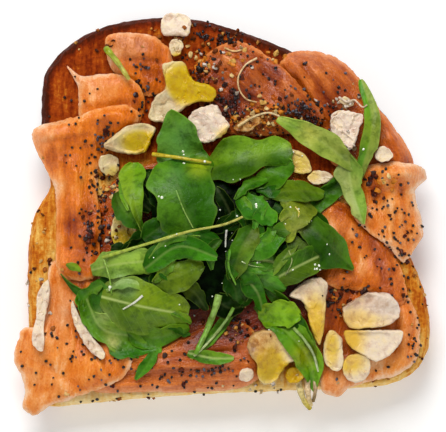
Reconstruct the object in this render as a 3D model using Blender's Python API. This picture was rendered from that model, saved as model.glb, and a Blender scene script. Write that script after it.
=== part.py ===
"""An open sandwich: a slice of toast, smoked salmon with poppy seeds, pieces of cheese and a heap of dressed rocket.

Plan sizes are in millimetres, +X to the right and +Y towards the loaf's domed crust.
The origin is on the toast's flat underside. Meshes are made in metres.
"""

import math
import random

import bmesh
import bpy
import numpy as np
from mathutils import Matrix, Vector, noise
from mathutils.geometry import delaunay_2d_cdt

MM = 0.001

# Toast: a slice of a square tin loaf with a domed top
TOAST_THICK = 14.0
TOAST_SHOULDER = 2.6
TOAST_FOOT = 1.6
TOAST_SPACING = 8.2
TOAST_RINGS = (1.1, 2.8)
RIM_HEIGHT = 0.5
TOAST_OUTLINE = (
    (-49.4, 8.0), (-51.7, 18.3), (-51.9, 34.0), (-48.9, 44.0), (-35.1, 53.4), (-13.7, 56.4), (6.3, 52.0),
    (24.9, 44.0), (43.4, 31.7), (50.8, 20.0), (50.6, 5.4), (51.4, -6.0), (58.0, -23.1), (58.9, -38.9),
    (49.1, -48.6), (22.0, -50.6), (-9.4, -52.0), (-38.0, -54.3), (-48.0, -55.4), (-52.9, -53.1),
    (-55.4, -42.0), (-56.0, -21.7), (-55.7, -7.4), (-52.9, 2.6),
)

# Smoked salmon: thin slices, draped in this order, the lowest first
SALMON_THICK = 2.0
SALMON_EDGE = 1.0
SALMON_TAPER = 3.0
SALMON_SPACING = 4.8
HIDDEN_SPACING = 7.5
SALMON = {
    "salmon_centre": (
        (-32.3, 8.3), (-20.9, 14.0), (-0.9, 15.4), (19.1, 11.1), (32.0, 2.6), (34.9, -10.3), (32.0, -24.6),
        (24.9, -36.0), (10.6, -43.1), (-6.6, -44.0), (-20.9, -43.1), (-32.3, -34.6), (-38.4, -21.7), (-38.6, -4.6),
    ),
    "salmon_top_right": (
        (16.3, 43.4), (18.3, 45.7), (23.4, 46.6), (30.6, 45.7), (36.3, 41.7), (41.4, 36.0), (44.6, 30.3),
        (49.7, 23.7), (53.1, 18.3), (54.3, 13.1), (50.6, 9.1), (43.4, 9.1), (34.9, 12.0), (27.1, 18.3),
        (21.4, 24.6), (17.4, 32.6),
    ),
    "salmon_top_centre": (
        (-0.3, 48.3), (4.9, 49.4), (11.1, 46.3), (18.6, 40.0), (23.7, 34.3), (28.9, 26.9), (23.7, 23.7),
        (15.1, 22.7), (7.1, 22.3), (-0.3, 24.1), (-6.1, 30.0), (-7.7, 39.7), (-4.9, 45.1),
    ),
    "salmon_top_upper": (
        (-33.1, 50.6), (-28.0, 51.7), (-20.9, 50.9), (-16.9, 48.9), (-14.1, 44.0), (-13.6, 38.3), (-18.9, 33.7),
        (-24.3, 34.9), (-27.7, 37.7), (-31.7, 41.1), (-33.4, 45.7),
    ),
    "salmon_top_lower": (
        (-44.6, 42.3), (-40.9, 39.4), (-33.7, 40.0), (-27.7, 39.4), (-23.7, 36.0), (-22.6, 29.7), (-25.6, 25.0),
        (-35.1, 24.6), (-40.9, 25.7), (-41.1, 33.1), (-42.3, 38.3),
    ),
    "salmon_right_lower": (
        (27.1, -17.7), (34.9, -18.9), (50.6, -22.3), (55.1, -28.0), (56.3, -36.0), (54.6, -42.6), (49.1, -46.3),
        (36.9, -49.1), (35.4, -52.0), (29.4, -51.4), (27.7, -47.4), (26.6, -38.9), (25.7, -27.4),
    ),
    "salmon_right_middle": (
        (28.9, 3.1), (34.9, 2.9), (40.9, -1.7), (47.1, -8.9), (51.1, -16.6), (52.6, -25.1), (49.4, -25.7),
        (42.0, -22.3), (32.3, -21.1), (26.9, -17.7), (25.4, -10.3), (26.6, -3.1),
    ),
    "salmon_right": (
        (38.6, 12.6), (46.0, 14.6), (52.9, 14.3), (58.3, 12.6), (59.4, 10.6), (55.7, 8.6), (55.4, 3.4),
        (57.7, -4.9), (55.1, -9.1), (52.3, -14.0), (48.9, -10.9), (43.1, -6.3), (37.4, -0.6), (36.3, 6.9),
    ),
    "salmon_bottom": (
        (-32.3, -36.9), (-20.9, -38.0), (-9.4, -34.3), (-2.3, -31.3), (6.3, -31.3), (11.7, -38.9), (11.1, -46.3),
        (3.7, -50.0), (-9.4, -50.9), (-23.7, -50.9), (-34.0, -51.1), (-39.1, -49.7), (-38.0, -42.3),
    ),
    "salmon_left_lower": (
        (-49.4, -14.3), (-43.1, -12.6), (-36.9, -15.4), (-33.4, -24.6), (-30.6, -33.1), (-26.0, -39.4),
        (-28.3, -46.3), (-38.6, -51.1), (-46.6, -54.0), (-52.9, -56.3), (-54.3, -58.0), (-55.4, -56.0),
        (-57.4, -55.4), (-56.6, -48.9), (-59.7, -42.3), (-58.6, -36.0), (-56.6, -32.0), (-54.3, -33.1),
        (-51.1, -28.9), (-50.0, -22.3),
    ),
    "salmon_left_fold": (
        (-54.6, 23.7), (-50.9, 25.7), (-42.3, 27.7), (-35.1, 30.0), (-26.6, 30.9), (-23.7, 27.4), (-27.7, 22.3),
        (-33.4, 18.3), (-35.4, 13.1), (-36.1, 6.3), (-35.0, -0.6), (-35.3, -10.3), (-36.4, -18.0), (-46.6, -17.4),
        (-47.7, -5.1), (-48.0, 6.9), (-50.6, 12.6), (-53.1, 17.7),
    ),
}

# Folds in the slices: start, end, rise and half width
FOLDS = {
    "salmon_left_fold": (
        ((-53.0, 21.0), (-29.0, 28.5), 2.0, 3.2),
        ((-44.5, 14.0), (-43.0, -16.0), 1.2, 2.6),
    ),
    "salmon_left_lower": (((-50.0, -38.0), (-34.0, -46.0), 1.2, 4.0),),
    "salmon_top_lower": (((-41.0, 34.5), (-25.0, 35.5), 1.3, 3.0),),
    "salmon_top_upper": (((-30.0, 48.5), (-18.0, 47.5), 1.2, 3.0),),
    "salmon_top_centre": (
        ((1.0, 45.5), (5.0, 42.0), 2.2, 3.6),
        ((7.0, 38.0), (14.0, 31.0), 2.4, 3.6),
        ((15.0, 40.0), (25.0, 28.0), 1.4, 2.4),
    ),
    "salmon_top_right": (
        ((20.5, 42.0), (30.0, 28.0), 1.5, 1.7),
        ((26.0, 42.0), (35.0, 29.0), 1.2, 1.7),
        ((45.0, 24.0), (50.0, 14.0), 1.0, 3.0),
    ),
    "salmon_right": (
        ((41.0, 11.0), (57.0, 10.5), 1.3, 2.6),
        ((50.0, 6.0), (54.0, -8.0), 1.2, 2.4),
    ),
    "salmon_right_middle": (
        ((30.0, 1.0), (33.0, -17.0), 1.4, 2.4),
        ((37.0, -2.0), (47.0, -21.0), 1.2, 2.4),
    ),
    "salmon_right_lower": (((53.0, -27.0), (52.0, -42.0), 0.8, 2.6),),
    "salmon_bottom": (((-31.0, -45.0), (7.0, -42.0), 1.2, 3.2),),
}

# Poppy seeds that show best on each slice
SEED_RADIUS = 0.55
SEED_SHOWS = 0.6
SEED_CLEAR = 1.5
SEED_APART = 2.0
SEED_TRIES = 40
SEED_COUNTS = {
    "salmon_centre": 2, "salmon_top_right": 2, "salmon_top_centre": 13, "salmon_top_upper": 3,
    "salmon_top_lower": 2, "salmon_right_lower": 7, "salmon_right_middle": 9, "salmon_right": 7,
    "salmon_bottom": 15, "salmon_left_lower": 12, "salmon_left_fold": 14,
}

# Cheese and cream pieces: outline, and thickness
CHEESE_SPACING = 3.4
CHEESE_BEVEL = 1.0
CHEESE_RIM_SHARE = 0.62
CHEESE_ROUGH = 0.22
CHEESE_TAPER = 1.6
CHEESE_THINNEST = 0.9
CHEESE = {
    "cream_smear_left": (
        ((-50.0, -18.9), (-52.6, -22.0), (-53.4, -26.3), (-53.1, -29.7), (-54.3, -33.1), (-54.0, -37.4),
         (-51.7, -39.4), (-50.9, -36.0), (-51.1, -30.9), (-50.0, -26.3), (-49.4, -21.7)), 1.6),
    "cheese_yellow_chunk": (
        ((-17.1, 42.3), (-13.7, 43.4), (-10.0, 42.3), (-9.4, 38.3), (-5.1, 37.1), (-2.0, 34.9), (-2.9, 32.2),
         (-7.1, 32.0), (-11.3, 30.2), (-14.6, 26.7), (-17.4, 26.2), (-20.9, 26.9), (-20.3, 31.4), (-18.6, 34.0),
         (-16.3, 36.0)), 4.6),
    "cheese_left_wedge": (
        ((-34.0, 19.4), (-30.6, 22.6), (-26.6, 25.1), (-21.6, 25.7), (-19.1, 24.0), (-20.9, 20.6), (-22.3, 17.7),
         (-26.0, 16.9), (-30.0, 17.8), (-33.4, 18.3)), 3.4),
    "cheese_crumbly": (
        ((30.9, 28.0), (33.4, 29.4), (36.9, 28.9), (40.0, 27.7), (38.6, 24.0), (37.7, 20.6), (36.3, 18.3),
         (34.0, 19.4), (30.9, 22.3), (30.6, 25.1)), 4.0),
    "cheese_tall_wedge": (
        ((18.9, -23.4), (21.4, -20.6), (24.3, -18.6), (29.2, -18.6), (29.2, -24.6), (28.7, -31.7), (27.4, -37.1),
         (25.1, -33.1), (23.1, -25.4)), 4.0),
    "cheese_dome": (
        ((34.6, -24.6), (37.7, -22.9), (43.4, -22.3), (48.3, -23.4), (50.0, -26.9), (49.4, -30.3), (46.0, -31.7),
         (42.6, -32.3), (34.9, -31.9)), 4.6),
    "cheese_quarter": (
        ((34.6, -33.4), (39.1, -33.1), (50.9, -33.4), (50.3, -36.6), (47.4, -40.0), (44.0, -42.0), (40.3, -40.3),
         (36.9, -38.3), (34.9, -36.0)), 4.2),
    "cheese_round_piece": (
        ((6.9, -36.9), (8.6, -34.0), (12.3, -32.9), (16.6, -34.0), (19.1, -37.4), (21.4, -40.3), (20.7, -42.2),
         (17.4, -42.9), (16.1, -46.5), (12.3, -48.6), (10.0, -46.3), (9.4, -41.7), (7.1, -39.4)), 4.4),
    "cheese_left_curl": (
        ((-42.9, -24.6), (-40.9, -29.1), (-38.0, -34.0), (-34.9, -37.7), (-32.6, -40.9), (-35.4, -40.9),
         (-39.1, -37.4), (-41.7, -32.9), (-43.1, -28.3)), 2.2),
}

# Smaller broken pieces: centre, length, width, turn in degrees and thickness
BROKEN_CORNERS = 9
BROKEN_BOXY = 3
BROKEN_JITTER = 0.22
BROKEN = {
    "cheese_top_flake": ((-13.3, 54.1), 10.2, 7.4, 0, 3.0),
    "cheese_top_crumb": ((-13.4, 47.5), 5.2, 4.2, 80, 2.4),
    "cheese_white_chunk": ((-4.4, 25.6), 12.0, 11.0, 20, 5.2),
    "cheese_left_flake": ((-32.5, 13.7), 7.2, 6.0, 90, 2.4),
    "cheese_left_slab": ((-28.1, -3.3), 16.4, 7.8, 86, 2.6),
    "cheese_cube": ((45.6, 17.0), 5.6, 4.8, -10, 3.6),
    "cheese_bar": ((27.5, 10.5), 8.2, 4.0, 0, 2.6),
    "cheese_right_flake": ((21.0, 14.9), 10.4, 6.4, -35, 3.0),
    "cheese_pale_strip": ((31.4, -39.2), 12.2, 4.2, 92, 2.8),
    "cheese_low_piece": ((38.2, -44.6), 9.4, 6.6, -10, 2.8),
    "cheese_white_bit": ((6.7, -45.7), 4.4, 4.2, 0, 2.0),
    "cheese_golden_bit": ((20.4, -46.0), 5.8, 5.0, 0, 2.8),
    "cheese_scrap": ((6.9, 25.6), 8.8, 4.2, 20, 1.8),
    "cheese_small_bit": ((35.2, 32.0), 4.4, 2.6, -20, 1.8),
}

# The rocket heap: a mound that the leaves are joined to
HEAP_RISE = 8.0
HEAP_RUN = 17.0
HEAP_SPACING = 7.0
HEAP_RIM = 1.0
HEAP_LUMPS = 0.7
HEAP_OUTLINE = (
    (-32.3, 6.9), (-20.9, 14.0), (-2.3, 14.0), (19.1, 8.3), (30.6, -1.7), (32.0, -14.6), (22.0, -22.6),
    (9.1, -25.4), (-2.3, -30.1), (-18.0, -34.0), (-32.3, -32.1), (-37.4, -24.6), (-35.1, -11.7),
)

# Leaves: spine points with their lift over what lies below, half width at the widest, lobes and cup
LEAF_THICK = 0.6
LEAF_TIP_SHARE = 0.16
LEAF_LOBE_DEPTH = 0.22
LEAF_WAVES = 5
LEAF_ROWS = 7
SHORT_LEAF_ROWS = 5
SHORT_LEAF = 13.0
LEAVES = {
    "upright": (((-8.6, 9.0, -1.5), (-11.6, 19.5, 3.6), (-15.1, 28.9, 4.5)), 5.0, 0, 1.0),
    "left_light": (((-22.9, -5.1, -1.2), (-25.4, 4.6, 3.5), (-27.1, 14.3, 3.5)), 3.6, 1, 0.8),
    "broad_middle": (((-7.4, -5.1, -0.8), (-12.3, 5.1, 2.5), (-18.0, 14.8, 3.0)), 8.2, 1, 1.2),
    "broad_right": (((-8.2, 10.2, -1.5), (6.3, 16.0, 5.0), (19.6, 18.6, 3.5)), 6.4, 1, 1.5),
    "right_lobe": (((7.6, 7.0, -1.2), (16.3, 13.7, 2.5), (21.1, 12.6, 2.5)), 3.6, 0, 0.6),
    "long_pale": (((38.6, 13.4, 2.4), (24.9, 22.3, 4.0), (14.6, 25.4, 3.8)), 3.0, 0, 0.8),
    "upright_blade": (((38.6, 11.6, 2.2), (43.3, 25.4, 3.6), (40.6, 37.7, 3.2)), 2.5, 0, 0.8),
    "right_hanging": (((33.6, 13.4, 2.2), (36.9, 5.9, 2.6), (40.0, -2.3, 2.0)), 3.6, 0, 0.8),
    "right_link": (((41.9, 16.6, 2.6), (35.9, 10.4, 2.8), (22.4, -1.3, -1.8)), 3.0, 0, 0.6),
    "small_olive": (((9.4, 3.6, -1.2), (20.9, 6.9, 3.0), (28.3, 4.9, 2.5)), 2.8, 0, 0.8),
    "olive_fan": (((25.4, 3.4, 2.0), (21.4, -0.3, 3.6), (14.0, -9.7, -1.5)), 4.4, 0, 0.8),
    "right_dark": (((14.0, -1.8, -1.5), (27.1, -8.0, 2.0), (36.0, -15.4, 1.6)), 4.8, 1, 0.8),
    "right_low": (((13.0, -20.8, -1.2), (23.4, -16.0, 2.0), (33.4, -12.6, 1.6)), 4.6, 1, 0.8),
    "upright_olive": (((6.9, -2.3, 1.5), (3.7, -9.7, 3.0), (1.3, -19.7, -1.2)), 3.4, 0, 0.8),
    "middle_curl": (((4.4, 6.6, -1.2), (10.0, 2.6, 3.0), (14.3, -2.8, 2.0)), 3.6, 0, 1.0),
    "middle_small": (((2.0, -11.4, -1.2), (10.6, -10.3, 2.2), (17.1, -12.0, 1.5)), 2.8, 1, 0.6),
    "middle_low": (((1.4, -15.2, -1.2), (9.4, -17.7, 1.8), (17.4, -21.7, 1.0)), 3.2, 1, 0.6),
    "broad_olive": (((-34.6, -24.6, 1.6), (-22.3, -26.9, 3.5), (-7.4, -28.4, -1.0)), 6.2, 1, 1.0),
    "left_upper": (((-37.3, -16.0, 1.5), (-28.9, -13.7, 2.5), (-16.3, -12.0, -1.5)), 4.0, 0, 0.8),
    "arch": (((-22.0, -15.4, -1.2), (-12.9, -9.7, 3.6), (-1.0, -14.2, 0.5)), 3.0, 0, 1.0),
    "under_arch": (((-19.1, -21.1, 0.5), (-12.3, -17.7, 2.0), (-3.4, -14.4, -1.2)), 3.2, 0, 0.6),
    "lower_left": (((-38.6, -24.6, 1.2), (-33.4, -33.7, 1.8), (-17.9, -33.9, -1.0)), 4.4, 1, 0.8),
    "lower_lobe": (((-28.3, -31.4, 0.5), (-18.6, -33.7, 1.5), (-7.9, -29.6, -1.0)), 2.8, 1, 0.6),
    "lower_edge": (((-32.3, -39.4, 0.8), (-26.6, -38.4, 1.2), (-17.7, -31.5, -1.2)), 2.6, 0, 0.5),
    "tail": (((-18.3, -31.0, -1.0), (-21.5, -41.9, 1.2), (-24.9, -47.1, 0.8)), 1.8, 0, 0.4),
    "stem_leaf": (((-10.0, -39.4, 0.9), (-3.7, -40.6, 1.2), (3.1, -40.9, 0.8)), 1.8, 0, 0.5),
    "dark_dip": (((-3.6, -22.6, -1.2), (1.4, -27.6, 1.4), (6.4, -26.3, 1.0)), 2.8, 0, 0.5),
    "green_curl": (((5.0, -15.9, -1.2), (9.4, -21.7, 2.0), (11.1, -27.3, 1.6)), 2.8, 0, 0.8),
    "light_round": (((8.6, -23.5, -1.0), (16.3, -26.3, 2.6), (21.9, -28.2, 1.6)), 3.4, 0, 0.8),
    "long_curved": (((10.0, -23.9, -1.2), (23.4, -34.4, 3.4), (27.7, -42.3, 2.0), (25.0, -51.5, 0.6)), 3.2, 0, 0.8),
    "right_of_curved": (((13.5, -19.5, -1.2), (22.6, -27.5, 4.8), (27.4, -36.0, 3.8)), 2.4, 0, 0.5),
    "left_tip": (((-46.3, -17.1, 0.8), (-42.6, -21.1, 1.2), (-31.4, -29.0, -1.2)), 1.5, 0, 0.3),
    "left_dark": (((-29.9, 5.0, 1.0), (-27.1, 1.7, 1.2), (-19.7, -4.3, -1.2)), 2.6, 0, 0.5),
    "under_stem": (((-22.4, -7.4, 0.6), (-18.0, -4.0, 1.0), (-11.0, 0.4, -1.2)), 3.4, 0, 0.5),
}

# Bare stalks: spine points with their lift, and radius
STALK_ROWS = 8
STALK_TAPER = 0.35
WELD = 1e-6
STALKS = {
    "long_stalk": (((-33.9, -12.3, 2.6), (-20.9, -8.3, 4.6), (-9.4, -4.9, 4.2), (0.6, -2.9, 2.4), (9.4, 0.6, -1.0)), 0.6),
    "upper_stalk": (((-21.3, 17.3, 3.0), (-12.3, 16.0, 3.2), (-3.7, 14.9, 2.4), (3.7, 10.6, -1.0)), 0.7),
    "lower_stalk": (((-0.6, -21.0, -1.0), (-4.3, -32.0, 1.6), (-7.9, -39.6, 1.4)), 0.8),
    "forked_stalk": (((3.0, -23.8, -1.0), (-3.1, -35.4, 1.8), (-7.6, -40.2, 1.5)), 0.7),
}
LOOSE_STALK = (((-32.9, 46.6, 0.5), (-30.0, 43.1, 0.6), (-27.1, 38.9, 0.5)), 1.0)

GAP = 0.35
BOARD_HALF = 66.0
CELL = 0.5
TOAST_EDGE_DROP = 0.8
SKIRT_DROP = 0.10
SMOOTH_PASSES = 3
CLEAR_PASSES = 8

COLOURS = {
    "toast": ((0.52, 0.25, 0.08), 0.85),
    "salmon": ((0.85, 0.33, 0.10), 0.35),
    "cheese": ((0.85, 0.76, 0.52), 0.55),
    "cream": ((0.86, 0.80, 0.72), 0.5),
    "rocket": ((0.13, 0.33, 0.04), 0.35),
}


# Outlines and plan shapes


def closed_curve(points, spacing):
    """A smooth closed outline through the points, as evenly spaced points."""
    points = np.array(points, float)
    steps = 16
    t = np.linspace(0, 1, steps, endpoint=False)[:, None]
    before, start, end, after = (np.roll(points, shift, axis=0) for shift in (1, 0, -1, -2))
    fine = np.concatenate([
        0.5 * (2 * b + (c - a) * t + (2 * a - 5 * b + 4 * c - d) * t**2 + (3 * b - a - 3 * c + d) * t**3)
        for a, b, c, d in zip(before, start, end, after)
    ])
    lengths = np.linalg.norm(np.roll(fine, -1, axis=0) - fine, axis=1)
    along = np.concatenate([[0], np.cumsum(lengths)])
    count = max(6, round(along[-1] / spacing))
    wanted = np.linspace(0, along[-1], count, endpoint=False)
    ring = np.vstack([fine, fine[:1]])
    return np.column_stack([np.interp(wanted, along, ring[:, k]) for k in (0, 1)])


def depth_inside(points, ring):
    """How far each point is inside a closed ring; outside it is negative."""
    points = np.asarray(points, float)
    depths = np.empty(len(points))
    start = np.asarray(ring, float)
    end = np.roll(start, -1, axis=0)
    side = end - start
    for first in range(0, len(points), 4000):
        p = points[first : first + 4000, None, :]
        share = np.clip(((p - start) * side).sum(2) / (side**2).sum(1), 0, 1)
        nearest = np.linalg.norm(p - (start + share[..., None] * side), axis=2).min(1)
        crosses = (start[:, 1] > p[..., 1]) != (end[:, 1] > p[..., 1])
        rise = np.where(np.abs(side[:, 1]) < 1e-12, 1e-12, side[:, 1])
        at = start[:, 0] + (p[..., 1] - start[:, 1]) * side[:, 0] / rise
        inside = (crosses & (p[..., 0] < at)).sum(1) % 2 == 1
        depths[first : first + 4000] = np.where(inside, nearest, -nearest)
    return depths


def inset_ring(ring, inset):
    """The ring moved inwards, without the points that come too near its far side."""
    ahead = np.roll(ring, -1, axis=0) - np.roll(ring, 1, axis=0)
    inward = np.column_stack([-ahead[:, 1], ahead[:, 0]])
    inward /= np.linalg.norm(inward, axis=1)[:, None]
    moved = ring + inward * inset
    if depth_inside(moved[:1], ring)[0] < 0:
        moved = ring - inward * inset
    return moved[depth_inside(moved, ring) > 0.85 * inset]


def plan_of(outline, spacing, rings=()):
    """Points and triangles that fill a smooth outline, and how deep each point lies inside it."""
    ring = closed_curve(outline, spacing)
    points = [ring]
    for inset in rings:
        points.append(inset_ring(ring, inset))
    low, high = ring.min(0), ring.max(0)
    rows = np.arange(low[1], high[1], spacing * math.sqrt(3) / 2)
    field = np.array([
        (x + (i % 2) * spacing / 2, y)
        for i, y in enumerate(rows)
        for x in np.arange(low[0], high[0], spacing)
    ])
    keep_off = (rings[-1] if rings else 0) + 0.62 * spacing
    points.append(field[depth_inside(field, ring) > keep_off])
    points = np.vstack([p for p in points if len(p)])
    count = len(ring)
    made = delaunay_2d_cdt([Vector(p) for p in points], [], [list(range(count))], 1, 1e-6)
    plan = np.array([tuple(v) for v in made[0]])
    depth = np.maximum(depth_inside(plan, ring), 0)
    depth[depth < 0.01] = 0
    return plan, np.array(made[2]), depth


def smoothstep(value):
    value = np.clip(value, 0, 1)
    return value * value * (3 - 2 * value)


def wander(points, size, seed):
    """Smooth noise from -1 to 1 at each plan point."""
    return np.array([noise.noise(Vector((x / size, y / size, seed))) for x, y in points])


# The board: how high the sandwich stands so far


class Board:
    """The height of everything laid so far, on a fine square grid, and which piece is uppermost there."""

    def __init__(self, edge):
        self.line = np.arange(-BOARD_HALF, BOARD_HALF + CELL / 2, CELL)
        x, y = np.meshgrid(self.line, self.line, indexing="ij")
        depth = depth_inside(np.column_stack([x.ravel(), y.ravel()]), edge).reshape(x.shape)
        outside = np.maximum(-depth, 0)
        self.top = TOAST_THICK - TOAST_EDGE_DROP - SKIRT_DROP * outside**2
        self.owner = np.full(x.shape, "", dtype=object)

    def cells(self, corners):
        """The cells inside a plan triangle, and their weights for its corners."""
        first = np.maximum(np.floor((corners.min(0) + BOARD_HALF) / CELL).astype(int), 0)
        last = np.ceil((corners.max(0) + BOARD_HALF) / CELL).astype(int) + 1
        i, j = np.meshgrid(np.arange(first[0], last[0]), np.arange(first[1], last[1]), indexing="ij")
        i, j = i.ravel(), j.ravel()
        p = np.column_stack([self.line[i], self.line[j]])
        a, b, c = corners
        area = (b[0] - a[0]) * (c[1] - a[1]) - (b[1] - a[1]) * (c[0] - a[0])
        if abs(area) < 1e-6:
            return i[:0], j[:0], np.empty((0, 3))
        second = ((p[:, 0] - a[0]) * (c[1] - a[1]) - (p[:, 1] - a[1]) * (c[0] - a[0])) / area
        third = ((b[0] - a[0]) * (p[:, 1] - a[1]) - (b[1] - a[1]) * (p[:, 0] - a[0])) / area
        weights = np.column_stack([1 - second - third, second, third])
        inside = (weights > -0.02).all(1)
        return i[inside], j[inside], weights[inside]

    def lay(self, name, plan, faces, top):
        """Raises the board to a piece's upper surface."""
        for face in faces:
            i, j, weights = self.cells(plan[face])
            height = weights @ top[face]
            higher = height > self.top[i, j]
            self.top[i[higher], j[higher]] = height[higher]
            self.owner[i[higher], j[higher]] = name

    def copy(self):
        """A second board, as high as this one."""
        other = object.__new__(Board)
        other.line, other.top, other.owner = self.line, self.top.copy(), self.owner.copy()
        return other

    def widened(self):
        """The board's height with every step moved out by one cell."""
        wide = self.top.copy()
        for di in (-1, 0, 1):
            for dj in (-1, 0, 1):
                wide = np.maximum(wide, np.roll(self.top, (di, dj), (0, 1)))
        return wide

    def clear(self, plan, faces, low):
        """Heights raised until every triangle clears the board, each corner by as little as it can be."""
        wide = self.widened()
        low = low.copy()
        covered = []
        for face in faces:
            i, j, weights = self.cells(plan[face])
            if len(i):
                covered.append((face, wide[i, j] + GAP, weights))
        for _ in range(CLEAR_PASSES):
            for face, needed, weights in covered:
                short = needed - weights @ low[face]
                worst = short.argmax()
                if short[worst] > 0:
                    share = np.clip(weights[worst], 0, 1)
                    low[face] += short[worst] * share / (share @ share)
        for face, needed, weights in covered:
            low[face] += max(0, (needed - weights @ low[face]).max())
        return low

    def smoothed(self, passes=SMOOTH_PASSES):
        """The board's height with its steps softened."""
        soft = self.top
        for _ in range(passes):
            for axis in (0, 1):
                soft = (np.roll(soft, 2, axis) + np.roll(soft, -2, axis) + 2 * soft) / 4
        return soft

    def sample(self, field, plan):
        """The field's value at each plan point, between the cells."""
        at = np.clip((plan + BOARD_HALF) / CELL, 0, len(self.line) - 1.001)
        i, j = at[:, 0].astype(int), at[:, 1].astype(int)
        u, v = at[:, 0] - i, at[:, 1] - j
        return (
            field[i, j] * (1 - u) * (1 - v) + field[i + 1, j] * u * (1 - v)
            + field[i, j + 1] * (1 - u) * v + field[i + 1, j + 1] * u * v
        )

    def free(self, name, x, y, reach):
        """True where this piece is uppermost all round a point."""
        first = np.round((np.array([x, y]) - reach + BOARD_HALF) / CELL).astype(int)
        last = np.round((np.array([x, y]) + reach + BOARD_HALF) / CELL).astype(int) + 1
        return bool((self.owner[first[0] : last[0], first[1] : last[1]] == name).all())


# Meshes


def material(kind):
    """The plain finish of one kind of food."""
    if kind in bpy.data.materials:
        return bpy.data.materials[kind]
    made = bpy.data.materials.new(kind)
    made.use_nodes = True
    colour, roughness = COLOURS[kind]
    shader = made.node_tree.nodes["Principled BSDF"]
    shader.inputs["Base Color"].default_value = (*colour, 1)
    shader.inputs["Roughness"].default_value = roughness
    shader.inputs["Metallic"].default_value = 0
    return made


def add_object(name, mesh, kind, collection):
    mesh.materials.append(material(kind))
    made = bpy.data.objects.new(name, mesh)
    collection.objects.link(made)
    return made


def solid_from_sheet(name, plan, faces, low, thickness, kind, collection):
    """A closed solid: an open sheet at the low heights, extruded up by its thickness at each point."""
    shape = bmesh.new()
    number = shape.verts.layers.int.new("number")
    corners = []
    for k, (x, y) in enumerate(plan):
        corner = shape.verts.new((x * MM, y * MM, low[k] * MM))
        corner[number] = k
        corners.append(corner)
    for face in faces:
        shape.faces.new([corners[k] for k in face])
    made = bmesh.ops.extrude_face_region(shape, geom=shape.faces[:], use_keep_orig=True)
    for corner in made["geom"]:
        if isinstance(corner, bmesh.types.BMVert):
            corner.co.z += thickness[corner[number]] * MM
    bmesh.ops.recalc_face_normals(shape, faces=shape.faces[:])
    mesh = bpy.data.meshes.new(name)
    shape.to_mesh(mesh)
    shape.free()
    return add_object(name, mesh, kind, collection)


def fold_rise(name, plan):
    """The height that a slice's folds add at each plan point."""
    rise = np.zeros(len(plan))
    for start, end, height, width in FOLDS.get(name, ()):
        start, end = np.array(start), np.array(end)
        side = end - start
        share = np.clip(((plan - start) @ side) / (side @ side), 0, 1)
        away = np.linalg.norm(plan - (start + share[:, None] * side), axis=1)
        rise += height * np.exp(-((away / width) ** 2))
    return rise


def make_toast(board, collection):
    """The toast: a flat foot, upright crust, rounded shoulders and a faintly raised rim."""
    plan, faces, depth = plan_of(TOAST_OUTLINE, TOAST_SPACING, TOAST_RINGS)
    low = np.where(depth == 0, TOAST_FOOT, 0.0)
    shoulder = 1 - np.sqrt(1 - (1 - np.clip(depth / TOAST_RINGS[-1], 0, 1)) ** 2)
    rim = RIM_HEIGHT * np.exp(-(((depth - TOAST_RINGS[-1]) / 2.0) ** 2))
    crumb = 0.35 * wander(plan, 9.0, 3.1) * smoothstep(depth / 6)
    top = TOAST_THICK - RIM_HEIGHT - TOAST_SHOULDER * shoulder + rim + crumb
    solid_from_sheet("toast", plan, faces, low, top - low, "toast", collection)
    board.lay("toast", plan, faces, top)


def make_salmon(name, board, collection):
    """One slice, draped over what is already there."""
    spacing = HIDDEN_SPACING if name == "salmon_centre" else SALMON_SPACING
    plan, faces, depth = plan_of(SALMON[name], spacing)
    low = board.clear(plan, faces, board.sample(board.smoothed(), plan))
    body = smoothstep(depth / SALMON_TAPER)
    thickness = SALMON_EDGE + (SALMON_THICK - SALMON_EDGE) * body
    thickness += fold_rise(name, plan) * (0.35 + 0.65 * body)
    solid_from_sheet(name, plan, faces, low, thickness, "salmon", collection)
    board.lay(name, plan, faces, low + thickness)


def broken_outline(name):
    """An uneven round outline for a small broken piece."""
    (x, y), length, width, turn, thick = BROKEN[name]
    draw = random.Random(name)
    outline = []
    for k in range(BROKEN_CORNERS):
        angle = 2 * math.pi * (k + draw.uniform(-0.3, 0.3)) / BROKEN_CORNERS
        across, up = math.cos(angle), math.sin(angle)
        boxy = (abs(across) ** BROKEN_BOXY + abs(up) ** BROKEN_BOXY) ** (-1 / BROKEN_BOXY)
        size = boxy * (1 - draw.uniform(0, BROKEN_JITTER))
        at = Vector((across * length / 2 * size, up * width / 2 * size))
        at.rotate(Matrix.Rotation(math.radians(turn), 2))
        outline.append((x + at.x, y + at.y))
    return outline, thick


def make_cheese(name, outline, thick, board, collection):
    """One broken piece, seated on what is already there, with a flatter top than what it lies on."""
    plan, faces, depth = plan_of(outline, CHEESE_SPACING, (CHEESE_BEVEL,))
    low = board.clear(plan, faces, board.sample(board.smoothed(), plan))
    level = (low.mean() + low) / 2
    thickness = thick * (CHEESE_RIM_SHARE + (1 - CHEESE_RIM_SHARE) * smoothstep(depth / CHEESE_TAPER))
    thickness *= 1 + CHEESE_ROUGH * wander(plan, 3.5, thick)
    thickness = np.maximum(thickness + level - low, CHEESE_THINNEST)
    kind = "cream" if name.startswith("cream") else "cheese"
    solid_from_sheet(name, plan, faces, low, thickness, kind, collection)
    board.lay(name, plan, faces, low + thickness)


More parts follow.
